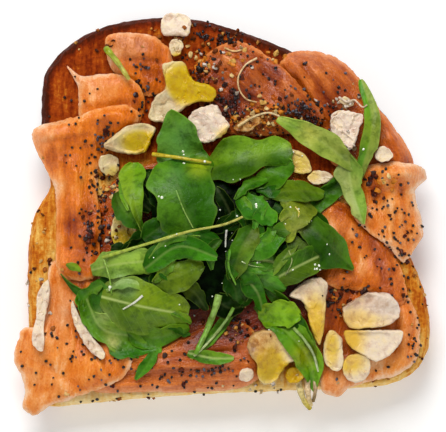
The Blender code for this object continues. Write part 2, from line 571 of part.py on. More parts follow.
def spine_curve(points, rows):
    """A smooth open curve through the points, as evenly spread points."""
    points = np.array(points, float)
    ends = np.vstack([2 * points[0] - points[1], points, 2 * points[-1] - points[-2]])
    t = np.linspace(0, 1, 12, endpoint=False)[:, None]
    fine = np.vstack([
        0.5 * (2 * b + (c - a) * t + (2 * a - 5 * b + 4 * c - d) * t**2 + (3 * b - a - 3 * c + d) * t**3)
        for a, b, c, d in zip(ends, ends[1:], ends[2:], ends[3:])
    ] + [points[-1:]])
    along = np.concatenate([[0], np.cumsum(np.linalg.norm(np.diff(fine[:, :2], axis=0), axis=1))])
    wanted = np.linspace(0, along[-1], rows + 1)
    return np.column_stack([np.interp(wanted, along, fine[:, k]) for k in range(3)])


def sideways_of(spine):
    """The plan direction to the left of a spine at each of its points."""
    ahead = np.gradient(spine[:, :2], axis=0)
    ahead /= np.linalg.norm(ahead, axis=1)[:, None]
    return np.column_stack([-ahead[:, 1], ahead[:, 0]])


def leaf_sheet(spine_points, half_width, lobes, cup):
    """Plan points, triangles and lifts of one leaf: its left edge, midrib and right edge along the spine."""
    length = np.linalg.norm(np.diff(np.array(spine_points)[:, :2], axis=0), axis=1).sum()
    rows = SHORT_LEAF_ROWS if length < SHORT_LEAF else LEAF_ROWS
    spine = spine_curve(spine_points, rows)
    side = sideways_of(spine)
    t = np.linspace(0, 1, rows + 1)
    width = half_width * np.maximum(np.sin(math.pi * (0.05 + 0.94 * t)) ** 0.7, LEAF_TIP_SHARE)
    width *= 1 - LEAF_LOBE_DEPTH * lobes * (0.5 - 0.5 * np.cos(4 * math.pi * t))
    plan, lift = [], []
    for across in (-1, 0, 1):
        plan.append(spine[:, :2] + side * (across * width)[:, None])
        lift.append(spine[:, 2] + cup * abs(across) * (0.5 + 0.5 * np.sin(LEAF_WAVES * t + across)))
    count = rows + 1
    faces = []
    for band in (0, 1):
        for k in range(rows):
            a, b = band * count + k, band * count + k + 1
            faces += [(a, b, b + count), (a, b + count, a + count)]
    return np.vstack(plan), np.array(faces), np.concatenate(lift)


def make_leaf(name, ground, board, collection):
    """One leaf as a thin wavy solid."""
    spine, half_width, lobes, cup = LEAVES[name]
    plan, faces, lift = leaf_sheet(spine, half_width, lobes, cup)
    low = board.clear(plan, faces, board.sample(ground, plan) + lift)
    thickness = np.full(len(plan), LEAF_THICK)
    solid_from_sheet(name, plan, faces, low, thickness, "rocket", collection)
    return plan, faces, low + thickness


def make_stalk(name, spine_points, radius, ground, board, collection):
    """One bare stalk: a tapering tube with closed ends."""
    spine = spine_curve(spine_points, STALK_ROWS)
    side = sideways_of(spine) * radius
    band = np.vstack([spine[:, :2] - side, spine[:, :2] + side])
    count = len(spine)
    faces = np.array([(k, k + 1, k + 1 + count) for k in range(count - 1)]
                     + [(k, k + 1 + count, k + count) for k in range(count - 1)])
    low = board.clear(band, faces, board.sample(ground, band) + np.tile(spine[:, 2], 2))
    middle = np.maximum(low[:count], low[count:]) + radius
    curve = bpy.data.curves.new(name, "CURVE")
    curve.dimensions = "3D"
    curve.bevel_depth = radius * MM
    curve.bevel_resolution = 1
    curve.use_fill_caps = True
    line = curve.splines.new("POLY")
    line.points.add(count - 1)
    for k, point in enumerate(line.points):
        point.co = (spine[k, 0] * MM, spine[k, 1] * MM, middle[k] * MM, 1)
        point.radius = 1 - STALK_TAPER * k / STALK_ROWS
    tube = bpy.data.objects.new(name, curve)
    collection.objects.link(tube)
    bpy.context.view_layer.update()
    mesh = bpy.data.meshes.new_from_object(tube.evaluated_get(bpy.context.evaluated_depsgraph_get()))
    bpy.data.objects.remove(tube)
    shape = bmesh.new()
    shape.from_mesh(mesh)
    bmesh.ops.remove_doubles(shape, verts=shape.verts, dist=WELD)
    bmesh.ops.triangulate(shape, faces=shape.faces[:])
    bmesh.ops.recalc_face_normals(shape, faces=shape.faces[:])
    shape.to_mesh(mesh)
    shape.free()
    add_object(name, mesh, "rocket", collection)
    return band, faces, np.tile(middle + radius, 2)


# Joining


def largest_shell(mesh):
    """Leaves only the mesh's largest closed shell, so that sealed hollows fill and loose scraps go."""
    shape = bmesh.new()
    shape.from_mesh(mesh)
    bmesh.ops.triangulate(shape, faces=shape.faces[:])
    left, shells = set(shape.faces), []
    while left:
        shell, edge = set(), [left.pop()]
        while edge:
            face = edge.pop()
            shell.add(face)
            for side in face.edges:
                near = [other for other in side.link_faces if other in left]
                left.difference_update(near)
                edge += near
        volume = sum(f.verts[0].co.dot(f.verts[1].co.cross(f.verts[2].co)) for f in shell)
        shells.append((volume, shell))
    shells.sort(key=lambda entry: entry[0])
    spare = [face for _, shell in shells[:-1] for face in shell]
    bmesh.ops.delete(shape, geom=spare, context="FACES")
    shape.to_mesh(mesh)
    shape.free()
    return len(shells)


def join(base, extras):
    """Unites everything in a collection with the base object, and removes the collection."""
    union = base.modifiers.new("joined", "BOOLEAN")
    union.operation = "UNION"
    union.operand_type = "COLLECTION"
    union.collection = extras
    union.solver = "MANIFOLD"
    bpy.context.view_layer.update()
    graph = bpy.context.evaluated_depsgraph_get()
    joined = bpy.data.meshes.new_from_object(base.evaluated_get(graph))
    base.modifiers.clear()
    base.data = joined
    shells = largest_shell(joined)
    for extra in list(extras.objects):
        bpy.data.objects.remove(extra)
    bpy.data.collections.remove(extras)
    return shells


def new_collection(name):
    made = bpy.data.collections.new(name)
    bpy.context.scene.collection.children.link(made)
    return made


def make_heap(board, collection):
    """The rocket: a mound with every leaf and stalk that shows joined to it."""
    plan, faces, depth = plan_of(HEAP_OUTLINE, HEAP_SPACING, (2.0,))
    low = board.clear(plan, faces, board.sample(board.smoothed(), plan))
    dome = np.sqrt(1 - (1 - np.clip(depth / HEAP_RUN, 0, 1)) ** 2)
    thickness = HEAP_RIM + HEAP_RISE * dome + HEAP_LUMPS * wander(plan, 6.0, 8.3) * smoothstep(depth / 5)
    heap = solid_from_sheet("rocket_heap", plan, faces, low, thickness, "rocket", collection)
    mound = board.copy()
    mound.lay("rocket_heap", plan, faces, low + thickness)
    ground = mound.smoothed(SMOOTH_PASSES * 2)
    extras = new_collection("leaves")
    laid = [(plan, faces, low + thickness)]
    for name in LEAVES:
        laid.append(make_leaf(name, ground, board, extras))
    for name, (spine, radius) in STALKS.items():
        laid.append(make_stalk(name, spine, radius, ground, board, extras))
    for piece_plan, piece_faces, top in laid:
        board.lay("rocket_heap", piece_plan, piece_faces, top)
    shells = join(heap, extras)
    print("rocket_heap:", shells, "shells before filling,", len(heap.data.polygons), "triangles")


def make_loose_stalk(board, collection):
    spine, radius = LOOSE_STALK
    plan, faces, top = make_stalk("rocket_stalk", spine, radius, board.smoothed(), board, collection)
    board.lay("rocket_stalk", plan, faces, top)


def sprinkle_seeds(name, board):
    """Joins poppy seeds to a slice where nothing else lies on it."""
    host = bpy.data.objects[name]
    ring = closed_curve(SALMON[name], SALMON_SPACING)
    low, high = ring.min(0), ring.max(0)
    draw = random.Random(name)
    spots = []
    for _ in range(SEED_COUNTS[name] * SEED_TRIES):
        x, y = draw.uniform(low[0], high[0]), draw.uniform(low[1], high[1])
        apart = all(math.hypot(x - a, y - b) > SEED_APART for a, b in spots)
        if apart and board.free(name, x, y, SEED_CLEAR):
            spots.append((x, y))
        if len(spots) == SEED_COUNTS[name]:
            break
    if not spots:
        return
    seeds = new_collection("seeds")
    for x, y in spots:
        hit, place, _, _ = host.ray_cast(Vector((x * MM, y * MM, 1)), Vector((0, 0, -1)))
        if not hit:
            continue
        shape = bmesh.new()
        bmesh.ops.create_icosphere(shape, subdivisions=1, radius=SEED_RADIUS * MM)
        bmesh.ops.rotate(shape, verts=shape.verts, matrix=_spin(draw))
        lift = (SEED_SHOWS - 0.5) * 2 * SEED_RADIUS * MM
        bmesh.ops.translate(shape, verts=shape.verts, vec=place + Vector((0, 0, lift)))
        mesh = bpy.data.meshes.new("seed")
        shape.to_mesh(mesh)
        shape.free()
        add_object("seed", mesh, "salmon", seeds)
    join(host, seeds)


def _spin(draw):
    turn = Vector((draw.uniform(-1, 1), draw.uniform(-1, 1), draw.uniform(-1, 1))).to_track_quat("Z", "Y")
    return turn.to_matrix()


def main():
    for old in list(bpy.data.objects):
        bpy.data.objects.remove(old)
    sandwich = new_collection("open_sandwich")
    board = Board(closed_curve(TOAST_OUTLINE, 2.0))
    make_toast(board, sandwich)
    for name in SALMON:
        make_salmon(name, board, sandwich)
    for name, (outline, thick) in CHEESE.items():
        make_cheese(name, outline, thick, board, sandwich)
    for name in BROKEN:
        make_cheese(name, *broken_outline(name), board, sandwich)
    make_loose_stalk(board, sandwich)
    make_heap(board, sandwich)
    bpy.context.view_layer.update()
    for name in SALMON:
        sprinkle_seeds(name, board)
    total = sum(len(o.data.polygons) for o in sandwich.objects)
    print("objects", len(sandwich.objects), "faces", total)


main()
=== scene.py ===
# %% [markdown]
# # An open sandwich, dressed piece by piece
# A thick slice of toast carries thin slices of smoked salmon, broken pieces of cheese, poppy seeds and a heap
# of dressed rocket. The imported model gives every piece's place and size. It comes in first, as the fixed
# frame, and nothing in it is moved: each cell below makes a finer piece in the same place and hides the
# plain one.

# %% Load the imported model
import math
import random

import bmesh
import bpy
import numpy as np
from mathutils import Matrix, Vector, noise


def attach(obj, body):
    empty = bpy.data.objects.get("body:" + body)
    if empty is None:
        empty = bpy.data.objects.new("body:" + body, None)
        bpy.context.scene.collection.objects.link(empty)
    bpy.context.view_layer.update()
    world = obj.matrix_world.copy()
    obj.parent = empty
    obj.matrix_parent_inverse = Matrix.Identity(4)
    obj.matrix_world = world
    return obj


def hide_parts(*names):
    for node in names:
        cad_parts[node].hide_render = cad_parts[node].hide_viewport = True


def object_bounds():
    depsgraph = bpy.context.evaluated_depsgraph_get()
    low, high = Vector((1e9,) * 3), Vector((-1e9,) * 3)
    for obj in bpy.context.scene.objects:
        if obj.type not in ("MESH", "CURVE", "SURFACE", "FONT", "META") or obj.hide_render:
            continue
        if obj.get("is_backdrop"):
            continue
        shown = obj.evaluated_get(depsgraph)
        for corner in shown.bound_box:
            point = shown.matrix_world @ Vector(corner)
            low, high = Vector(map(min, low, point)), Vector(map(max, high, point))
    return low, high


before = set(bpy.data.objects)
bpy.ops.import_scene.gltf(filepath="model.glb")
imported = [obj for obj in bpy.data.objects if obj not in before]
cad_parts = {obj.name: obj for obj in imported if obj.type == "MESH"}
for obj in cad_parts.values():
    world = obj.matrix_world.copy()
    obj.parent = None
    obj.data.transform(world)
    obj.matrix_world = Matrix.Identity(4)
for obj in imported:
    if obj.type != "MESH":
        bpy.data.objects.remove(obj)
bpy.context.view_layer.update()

MM = 0.001

# %% [markdown]
# ## The table top, the light and the camera
# The sandwich is seen from straight above, from far enough away that its sides don't show. A food
# photographer would hang the camera on an arm and light the plate from a window at the far side. A large
# area light does the window's work: it is soft, but it still leaves dark gaps between the leaves.

# %% Camera straight above
# the width that the picture shows and the camera's shift, in millimetres, and two heights in metres
SHOWN_WIDTH = 127.4
CAMERA_SHIFT = -0.6
CAMERA_RISE = 0.8
FOCUS_LEVEL = 0.016
SENSOR = 36.0

camera_data = bpy.data.cameras.new("overhead")
camera_data.sensor_width = SENSOR
camera_data.lens = SENSOR * CAMERA_RISE / (SHOWN_WIDTH * MM)
camera_data.clip_start = 0.05
camera_data.clip_end = 20
camera = bpy.data.objects.new("overhead", camera_data)
camera.location = (0, CAMERA_SHIFT * MM, CAMERA_RISE + FOCUS_LEVEL)
bpy.context.scene.collection.objects.link(camera)
bpy.context.scene.camera = camera
bpy.context.scene.view_settings.view_transform = "Standard"
print("lens", round(camera_data.lens, 1), "mm")

# %% Window light, fill light and pale surroundings
WINDOW_POWER = 5.6
FILL_POWER = 1.3
SURROUND = 0.32


def hang_light(name, place, size, power):
    """A square light at a place in metres, aimed at the sandwich."""
    data = bpy.data.lights.new(name, "AREA")
    data.size = size
    data.energy = power
    light = bpy.data.objects.new(name, data)
    light.location = place
    light.rotation_euler = (Vector((0, 0, 0.01)) - Vector(place)).to_track_quat("-Z", "Y").to_euler()
    bpy.context.scene.collection.objects.link(light)


hang_light("window", (-0.12, 0.52, 0.62), 0.42, WINDOW_POWER)
hang_light("fill_right", (0.75, -0.25, 0.42), 0.5, FILL_POWER)
hang_light("fill_left", (-0.75, -0.35, 0.42), 0.5, FILL_POWER)
hang_light("fill_front", (0.1, -0.85, 0.40), 0.5, 1.2 * FILL_POWER)

surroundings = bpy.data.worlds.new("surroundings")
surroundings.use_nodes = True
surroundings.node_tree.nodes["Background"].inputs["Color"].default_value = (1, 1, 1, 1)
surroundings.node_tree.nodes["Background"].inputs["Strength"].default_value = SURROUND
bpy.context.scene.world = surroundings

# %% [markdown]
# ## Mixing finishes
# Food has no flat colours: each finish below mixes a few measured colours by soft noise, and gives the
# surface its own gloss and fine relief. A few helpers keep those recipes short: they add a node and join its
# inputs, make a colour ramp from everyday 0 to 255 colours, add noise to a value, or set the gloss.

# %% Helpers for finishes
def paint(red, green, blue):
    """An everyday colour, each part from 0 to 255, in Blender's linear values."""
    parts = []
    for part in (red, green, blue):
        share = part / 255
        parts.append(share / 12.92 if share <= 0.04045 else ((share + 0.055) / 1.055) ** 2.4)
    return (*parts, 1)


def new_finish(name):
    """A new material with its tree and its main shader."""
    made = bpy.data.materials.new(name)
    made.use_nodes = True
    return made, made.node_tree, made.node_tree.nodes["Principled BSDF"]


def join_in(tree, socket, value):
    """Links a value to a socket if it comes from another node, and sets it otherwise."""
    if isinstance(value, bpy.types.NodeSocket):
        tree.links.new(value, socket)
    else:
        socket.default_value = value


def add_node(tree, kind, inputs=(), **settings):
    """A new node with its settings and inputs."""
    made = tree.nodes.new(kind)
    for setting, value in settings.items():
        setattr(made, setting, value)
    for socket, value in dict(inputs).items():
        join_in(tree, made.inputs[socket], value)
    return made


def ramp(tree, share, *stops):
    """Colours blended by share: each stop is its place and its colour."""
    made = tree.nodes.new("ShaderNodeValToRGB")
    elements = made.color_ramp.elements
    while len(elements) < len(stops):
        elements.new(0.5)
    for element, (place, colour) in zip(elements, stops):
        element.position = place
        element.color = paint(*colour)
    tree.links.new(share, made.inputs["Fac"])
    return made.outputs["Color"]


def sums(tree, kind, first, second=0.0, third=0.0):
    """One step of arithmetic."""
    made = tree.nodes.new("ShaderNodeMath")
    made.operation = kind
    for socket, value in zip(made.inputs, (first, second, third)):
        join_in(tree, socket, value)
    return made.outputs[0]


def speckle(tree, where, scale, detail=3.0, rough=0.55):
    """Soft noise from 0 to 1, with its features about 1 / scale apart."""
    inputs = {"Vector": where, "Scale": scale, "Detail": detail, "Roughness": rough}
    return add_node(tree, "ShaderNodeTexNoise", inputs).outputs["Fac"]


def blend(tree, share, first, second, how="MIX"):
    """Two colours blended by share."""
    made = add_node(tree, "ShaderNodeMix", data_type="RGBA", blend_type=how)
    join_in(tree, made.inputs[0], share)
    join_in(tree, made.inputs[6], first)
    join_in(tree, made.inputs[7], second)
    return made.outputs[2]


def relief(tree, shader, height, depth, strength=1.0):
    """Fine relief on the shader, its full height in millimetres."""
    inputs = {"Height": height, "Distance": depth * MM, "Strength": strength}
    tree.links.new(add_node(tree, "ShaderNodeBump", inputs).outputs["Normal"], shader.inputs["Normal"])


def by_name(tree, name, output="Fac"):
    """An attribute that the mesh carries."""
    return add_node(tree, "ShaderNodeAttribute", attribute_name=name).outputs[output]


def place_of(tree):
    """Object coordinates, in metres."""
    return add_node(tree, "ShaderNodeTexCoord").outputs["Object"]


def noisy(tree, value, clouds, amount, shift):
    """The value with some noise added, and a shift that keeps its middle about where it was."""
    return sums(tree, "ADD", value, sums(tree, "MULTIPLY_ADD", clouds, amount, shift))


def polish(tree, shader, share, shiny, dull, gloss):
    """Roughness between two stops, each a place and a grey from 0 to 255, and how much it mirrors."""
    stops = [(place, (grey,) * 3) for place, grey in (shiny, dull)]
    tree.links.new(ramp(tree, share, *stops), shader.inputs["Roughness"])
    join_in(tree, shader.inputs["Specular IOR Level"], gloss)


# %% Table top
table_finish, tree, shader = new_finish("table_top")
tree.links.new(
    ramp(tree, speckle(tree, place_of(tree), 6), (0.3, (246, 246, 245)), (0.7, (250, 250, 249))),
    shader.inputs["Base Color"],
)
shader.inputs["Roughness"].default_value = 0.9
shader.inputs["Emission Color"].default_value = (1.0, 1.0, 1.0, 1.0)
shader.inputs["Emission Strength"].default_value = 0.12
bpy.ops.mesh.primitive_plane_add(size=8, location=(0, 0, -0.0002))
table_top = bpy.context.active_object
table_top.name = "table_top"
table_top.data.materials.append(table_finish)
table_top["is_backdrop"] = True

# %% [markdown]
# ## From plain solids to fine ones
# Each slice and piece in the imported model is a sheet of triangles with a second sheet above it, corner over
# corner. Here the lower sheet is found again, with its thickness at each corner. It is then made finer by
# butterfly subdivision, which keeps every corner where it is and puts new ones on smooth curves between
# them. A Subdivision Surface modifier would be less work, but it pulls outlines inwards, and a slice's
# torn tips would get lost.

# %% Find a piece's two sheets
# the weld distance is in metres, the other lengths in millimetres
WELD = 2e-6
SAME_PLACE = 0.004
FACES_DOWN = -0.02
LEAST_THICK = 0.2
THICKNESS_PASSES = 4


def largest_patch(faces):
    """The largest group of faces that hang together, in the order that they came in."""
    left = set(faces)
    largest = set()
    for first in faces:
        if first not in left:
            continue
        left.remove(first)
        patch = {first}
        edge = [first]
        while edge:
            near = {other for side in edge.pop().edges for other in side.link_faces if other in left}
            left -= near
            patch |= near
            edge += near
        if len(patch) > len(largest):
            largest = patch
    # a set has no fixed order of its own, and without one the result would change from run to run
    return [face for face in faces if face in largest]


def two_sheets(node):
    """Corners as x, y, low and top in millimetres, triangles seen from above, and the seeds' places."""
    shape = bmesh.new()
    shape.from_mesh(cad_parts[node].data)
    bmesh.ops.remove_doubles(shape, verts=shape.verts, dist=WELD)
    shape.normal_update()
    under = largest_patch([face for face in shape.faces if face.normal.z < FACES_DOWN])
    corners = sorted({corner for face in under for corner in face.verts}, key=lambda v: v.index)
    number = {corner: k for k, corner in enumerate(corners)}
    faces = np.array([[number[v] for v in reversed(face.verts)] for face in under])
    spots = np.array([v.co for v in shape.verts]) / MM
    low = np.array([v.co for v in corners]) / MM
    apart = np.linalg.norm(low[:, None, :2] - spots[None, :, :2], axis=2)
    top = np.where(apart < SAME_PLACE, spots[:, 2], -1).max(1)
    thick = top - low[:, 2]
    known = thick > LEAST_THICK
    for _ in range(THICKNESS_PASSES):
        for k in np.nonzero(~known)[0]:
            near = [n for face in faces[(faces == k).any(1)] for n in face if known[n]]
            if near:
                thick[k] = thick[near].mean()
                known[k] = True
    loose = apart.min(0) > SAME_PLACE
    seeds = []
    left = {v for v in shape.verts if loose[v.index]}
    for first in shape.verts:
        if first not in left:
            continue
        left.remove(first)
        group = [first]
        for corner in group:
            near = {side.other_vert(corner) for side in corner.link_edges} & left
            left -= near
            group += sorted(near, key=lambda v: v.index)
        seeds.append(np.mean([v.co for v in group], axis=0) / MM)
    shape.free()
    return np.column_stack([low, low[:, 2] + thick]), faces, seeds


# %% Butterfly subdivision
# weights of the corners around a new one: along the rim, and across the triangles
RIM_NEAR = 9 / 16
RIM_FAR = 1 / 16
ACROSS = 1 / 8
WING = 1 / 16


def butterfly(points, faces, roundness=1.0):
    """One round: a new corner on a smooth curve across each edge, and four triangles for each one."""
    across = {}
    for a, b, c in faces:
        for p, q, r in ((a, b, c), (b, c, a), (c, a, b)):
            across.setdefault((min(p, q), max(p, q)), []).append(r)
    rim = {}
    for (p, q), far in across.items():
        if len(far) == 1:
            rim.setdefault(p, []).append(q)
            rim.setdefault(q, []).append(p)
    number = {}
    made = []
    for (p, q), far in across.items():
        number[p, q] = len(points) + len(made)
        if len(far) == 1:
            before = [n for n in rim[p] if n != q][0]
            after = [n for n in rim[q] if n != p][0]
            made.append(RIM_NEAR * (points[p] + points[q]) - RIM_FAR * (points[before] + points[after]))
            continue
        middle = ACROSS * (points[far[0]] + points[far[1]])
        for r in far:
            for end, other in ((p, q), (q, p)):
                wing = [n for n in across[min(end, r), max(end, r)] if n != other]
                beyond = points[wing[0]] if wing else points[end] + points[r] - points[other]
                middle = middle - WING * beyond
        made.append(0.5 * (points[p] + points[q]) + roundness * middle)
    finer = []
    for a, b, c in faces:
        ab, bc, ca = (number[min(p, q), max(p, q)] for p, q in ((a, b), (b, c), (c, a)))
        finer += [(a, ab, ca), (ab, b, bc), (ca, bc, c), (ab, bc, ca)]
    return np.vstack([points, made]), np.array(finer)


# %% Rims, depths and soft noise
AT_ONCE = 2000


def rim_edges(faces):
    """Directed edges that only one triangle has."""
    sides = {(int(p), int(q)) for a, b, c in faces for p, q in ((a, b), (b, c), (c, a))}
    return np.array([side for side in sides if side[::-1] not in sides])


def depth_from(points, start, end):
    """How far each plan point is from the nearest of the straight sides."""
    depths = np.empty(len(points))
    side = end - start
    for first in range(0, len(points), AT_ONCE):
        p = points[first : first + AT_ONCE, None, :]
        share = np.clip(((p - start) * side).sum(2) / np.maximum((side**2).sum(1), 1e-12), 0, 1)
        away = p - (start + share[..., None] * side)
        depths[first : first + AT_ONCE] = np.linalg.norm(away, axis=2).min(1)
    return depths


def wander(points, size, seed, grain=0.0, longer=1.0):
    """Soft noise from about -1 to 1 in plan, drawn out along the grain."""
    c, s = math.cos(math.radians(grain)), math.sin(math.radians(grain))
    along = (points[:, 0] * c + points[:, 1] * s) / (size * longer)
    over = (points[:, 1] * c - points[:, 0] * s) / size
    return np.array([1.5 * noise.noise(Vector((a, b, seed))) for a, b in zip(along, over)])


def smoothstep(value):
    """0 up to 0, 1 from 1 on, and a soft rise between them."""
    value = np.clip(value, 0, 1)
    return value * value * (3 - 2 * value)


# %% Make a closed shell from two sheets
def shell(top, low, faces, bulge=0.0):
    """Corners and faces of a closed shell: both sheets, and a wall that swells out by bulge between them."""
    rim = rim_edges(faces)
    ring = np.unique(rim)
    place = {corner: k for k, corner in enumerate(ring)}
    out = np.zeros((len(ring), 2))
    for a, b in rim:
        side = top[b, :2] - top[a, :2]
        side = np.array([side[1], -side[0]]) / max(np.linalg.norm(side), 1e-9)
        out[place[a]] += side
        out[place[b]] += side
    out /= np.maximum(np.linalg.norm(out, axis=1), 1e-9)[:, None]
    middle = (top[ring] + low[ring]) / 2
    middle[:, :2] += out * bulge
    count = len(top)
    walls = []
    for a, b in rim:
        ma, mb = 2 * count + place[a], 2 * count + place[b]
        walls += [(b, a, ma, mb), (mb, ma, a + count, b + count)]
    return np.vstack([top, low, middle]), [*faces.tolist(), *(faces[:, ::-1] + count).tolist(), *walls]


def mesh_from(name, points, faces):
    """A smooth-shaded mesh from corners in millimetres."""
    mesh = bpy.data.meshes.new(name)
    mesh.from_pydata((np.asarray(points) * MM).tolist(), [], faces)
    mesh.update()
    mesh.shade_smooth()
    return mesh


def write_values(mesh, name, values):
    """Keeps one number, or three, for each corner of the mesh."""
    values = np.asarray(values, np.float32)
    if values.ndim == 1:
        mesh.attributes.new(name, "FLOAT", "POINT").data.foreach_set("value", values)
    else:
        mesh.attributes.new(name, "FLOAT_VECTOR", "POINT").data.foreach_set("vector", values.ravel())


dressed = {}


def set_down(name, mesh, finish, slot, *nodes):
    """The finished piece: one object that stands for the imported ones."""
    mesh.materials.clear()
    mesh.materials.append(finish)
    piece = bpy.data.objects.new(name, mesh)
    bpy.context.scene.collection.objects.link(piece)
    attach(piece, "root")
    if nodes:
        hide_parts(*nodes)
    dressed[name] = piece
    return piece


# %% [markdown]
# ## Toast
# The slice was cut from a loaf with a domed top, and it was toasted hard: the crust is nearly black along
# the dome, the upper half is red-brown with streaks from the knife, and the lower half stayed golden. One
# voxel remesh gives the whole slice even, fine triangles, so that pits in the crumb and wrinkles in the
# crust can be real relief on the top and the sides alike.

# %% Toast: shape
# rounds of subdivision; the pits' reach is a share of their size, the other lengths are in millimetres
VOXEL = 0.72
TOAST_TOP = 13.4
TOAST_ROUNDS = 2
PIT_REACH = 0.42
PORE_DEPTH = 0.55
WRINKLE_DEPTH = 0.3
LUMP_HEIGHT = 0.25


def remeshed(name, mesh, voxel):
    """The mesh rebuilt in even small squares."""
    rough = bpy.data.objects.new(name, mesh)
    bpy.context.scene.collection.objects.link(rough)
    even = rough.modifiers.new("even", "REMESH")
    even.mode = "VOXEL"
    even.voxel_size = voxel * MM
    graph = bpy.context.evaluated_depsgraph_get()
    made = bpy.data.meshes.new_from_object(rough.evaluated_get(graph))
    bpy.data.objects.remove(rough)
    return made


def corners_of(mesh):
    """The mesh's corners in millimetres, and which way each one faces."""
    points = np.empty(len(mesh.vertices) * 3, np.float32)
    mesh.vertices.foreach_get("co", points)
    facing = np.empty(len(mesh.vertices) * 3, np.float32)
    mesh.vertex_normals.foreach_get("vector", facing)
    return points.reshape(-1, 3) / MM, facing.reshape(-1, 3)


def pits(points, size, seed):
    """1 at the middle of scattered round pits, 0 between them."""
    found = np.empty(len(points))
    for k, (x, y, z) in enumerate(points / size):
        near = noise.voronoi(Vector((x, y, z + seed)))[0]
        found[k] = near[0]
    return smoothstep(1 - found / PIT_REACH)


points, faces, _ = two_sheets("toast")
for _ in range(TOAST_ROUNDS):
    points, faces = butterfly(points, faces, 0.0)
points[:, 2] = np.maximum(points[:, 2], 0)
edge = rim_edges(faces)
toast_start, toast_end = points[edge[:, 0], :2], points[edge[:, 1], :2]
toast_mesh = mesh_from("toast_rough", *shell(points[:, [0, 1, 3]], points[:, :3], faces))
toast_mesh = remeshed("toast_rough", toast_mesh, VOXEL)
spots, facing = corners_of(toast_mesh)
inside = depth_from(spots[:, :2], toast_start, toast_end)
upward = smoothstep((facing[:, 2] - 0.3) / 0.5)
flat = upward * smoothstep((inside - 1.5) / 2.5)
pores = pits(spots, 2.3, 4.0) * flat + 0.6 * pits(spots, 1.2, 9.0) * flat
lumps = wander(spots[:, :2], 5.0, 2.0) * LUMP_HEIGHT * upward
wrinkles = np.array([noise.noise(Vector((x / 2.2, y / 2.2, z / 1.1))) for x, y, z in spots])
wrinkles *= WRINKLE_DEPTH
push = lumps + wrinkles * (1 - flat) * (facing[:, 2] > -0.6) - pores * PORE_DEPTH
spots = spots + facing * push[:, None]
spots[:, 2] = np.maximum(spots[:, 2], 0.0)
toast_mesh.vertices.foreach_set("co", (spots * MM).astype(np.float32).ravel())
toast_mesh.update()
toast_mesh.shade_smooth()
print("toast:", len(toast_mesh.polygons), "faces")

# %% [markdown]
# How far each spot was toasted is kept on the mesh as one number, from pale to nearly black. A maker would
# paint it by hand. Here a few soft rules do it: darker up towards the dome, darker at the outer crust, with
# streaks along the cut and a paler lower half. Each rule takes the places where it holds from soft steps in
# millimetres, and adds its share.

# %% Toast: how dark each spot is
upper = smoothstep((spots[:, 1] - 6) / 16)
outer = 1 - smoothstep((inside - 1.0) / 2.6)
top_side = spots[:, 2] > TOAST_TOP - 3.5
streaks = wander(spots[:, :2], 0.9, 5.0, 90, 9.0) * 0.16 + wander(spots[:, :2], 4.0, 7.0, 90, 3.0) * 0.12
lower = 1 - upper
baked = 0.24 + 0.44 * upper + streaks * (0.6 - 0.25 * upper)
# the outer crust, the sides of the lower half, and the pale edge that stood on the rack
baked += outer * (0.04 + 0.30 * upper)
baked += (1 - top_side) * 0.08 * lower
baked -= 0.10 * smoothstep((2.0 - spots[:, 2]) / 2)
# the left and the right margin of the lower half, and a band just inside the left crust
baked += 0.14 * smoothstep((-44 - spots[:, 0]) / 6) * lower
baked += 0.20 * smoothstep((spots[:, 0] - 44) / 6) * smoothstep((spots[:, 1] + 38) / 8) * lower
baked += 0.16 * smoothstep((6 - inside) / 3) * (spots[:, 0] < -40) * smoothstep((inside - 3) / 2) * lower
# a dark patch right of the middle, the pale bottom margin, and the pores
baked += 0.30 * np.exp(-(((spots[:, 0] - 28) / 9) ** 2 + ((spots[:, 1] - 12) / 6) ** 2))
baked -= 0.20 * smoothstep((-46 - spots[:, 1]) / 5)
baked -= pores * 0.10
write_values(toast_mesh, "baked", np.clip(baked, 0, 1))
write_values(toast_mesh, "crusty", np.clip(1 - flat, 0, 1))

toast_finish, tree, shader = new_finish("toasted_bread")
where = place_of(tree)
grains = speckle(tree, where, 900, 6, 0.7)
patches = speckle(tree, where, 170, 4, 0.6)
drawn_out = add_node(tree, "ShaderNodeMapping", {"Vector": where, "Scale": (1, 0.14, 1)}).outputs[0]
scorched = speckle(tree, drawn_out, 1000, 3, 0.6)
dark = noisy(tree, by_name(tree, "baked"), grains, 0.5, -0.25)
dark = noisy(tree, dark, patches, 0.28, -0.14)
dark = noisy(tree, dark, scorched, 0.54, -0.27)
toast_colour = ramp(
    tree, dark,
    (0.0, (250, 220, 156)), (0.22, (242, 192, 96)), (0.42, (216, 132, 34)),
    (0.60, (170, 70, 10)), (0.78, (122, 38, 3)), (1.0, (72, 24, 3)),
)
tree.links.new(toast_colour, shader.inputs["Base Color"])
polish(tree, shader, patches, (0.3, 150), (0.7, 205), 0.05)
relief(tree, shader, sums(tree, "ADD", grains, sums(tree, "MULTIPLY", patches, 0.6)), 0.6)
set_down("toast_slice", toast_mesh, toast_finish, "toast", "toast")
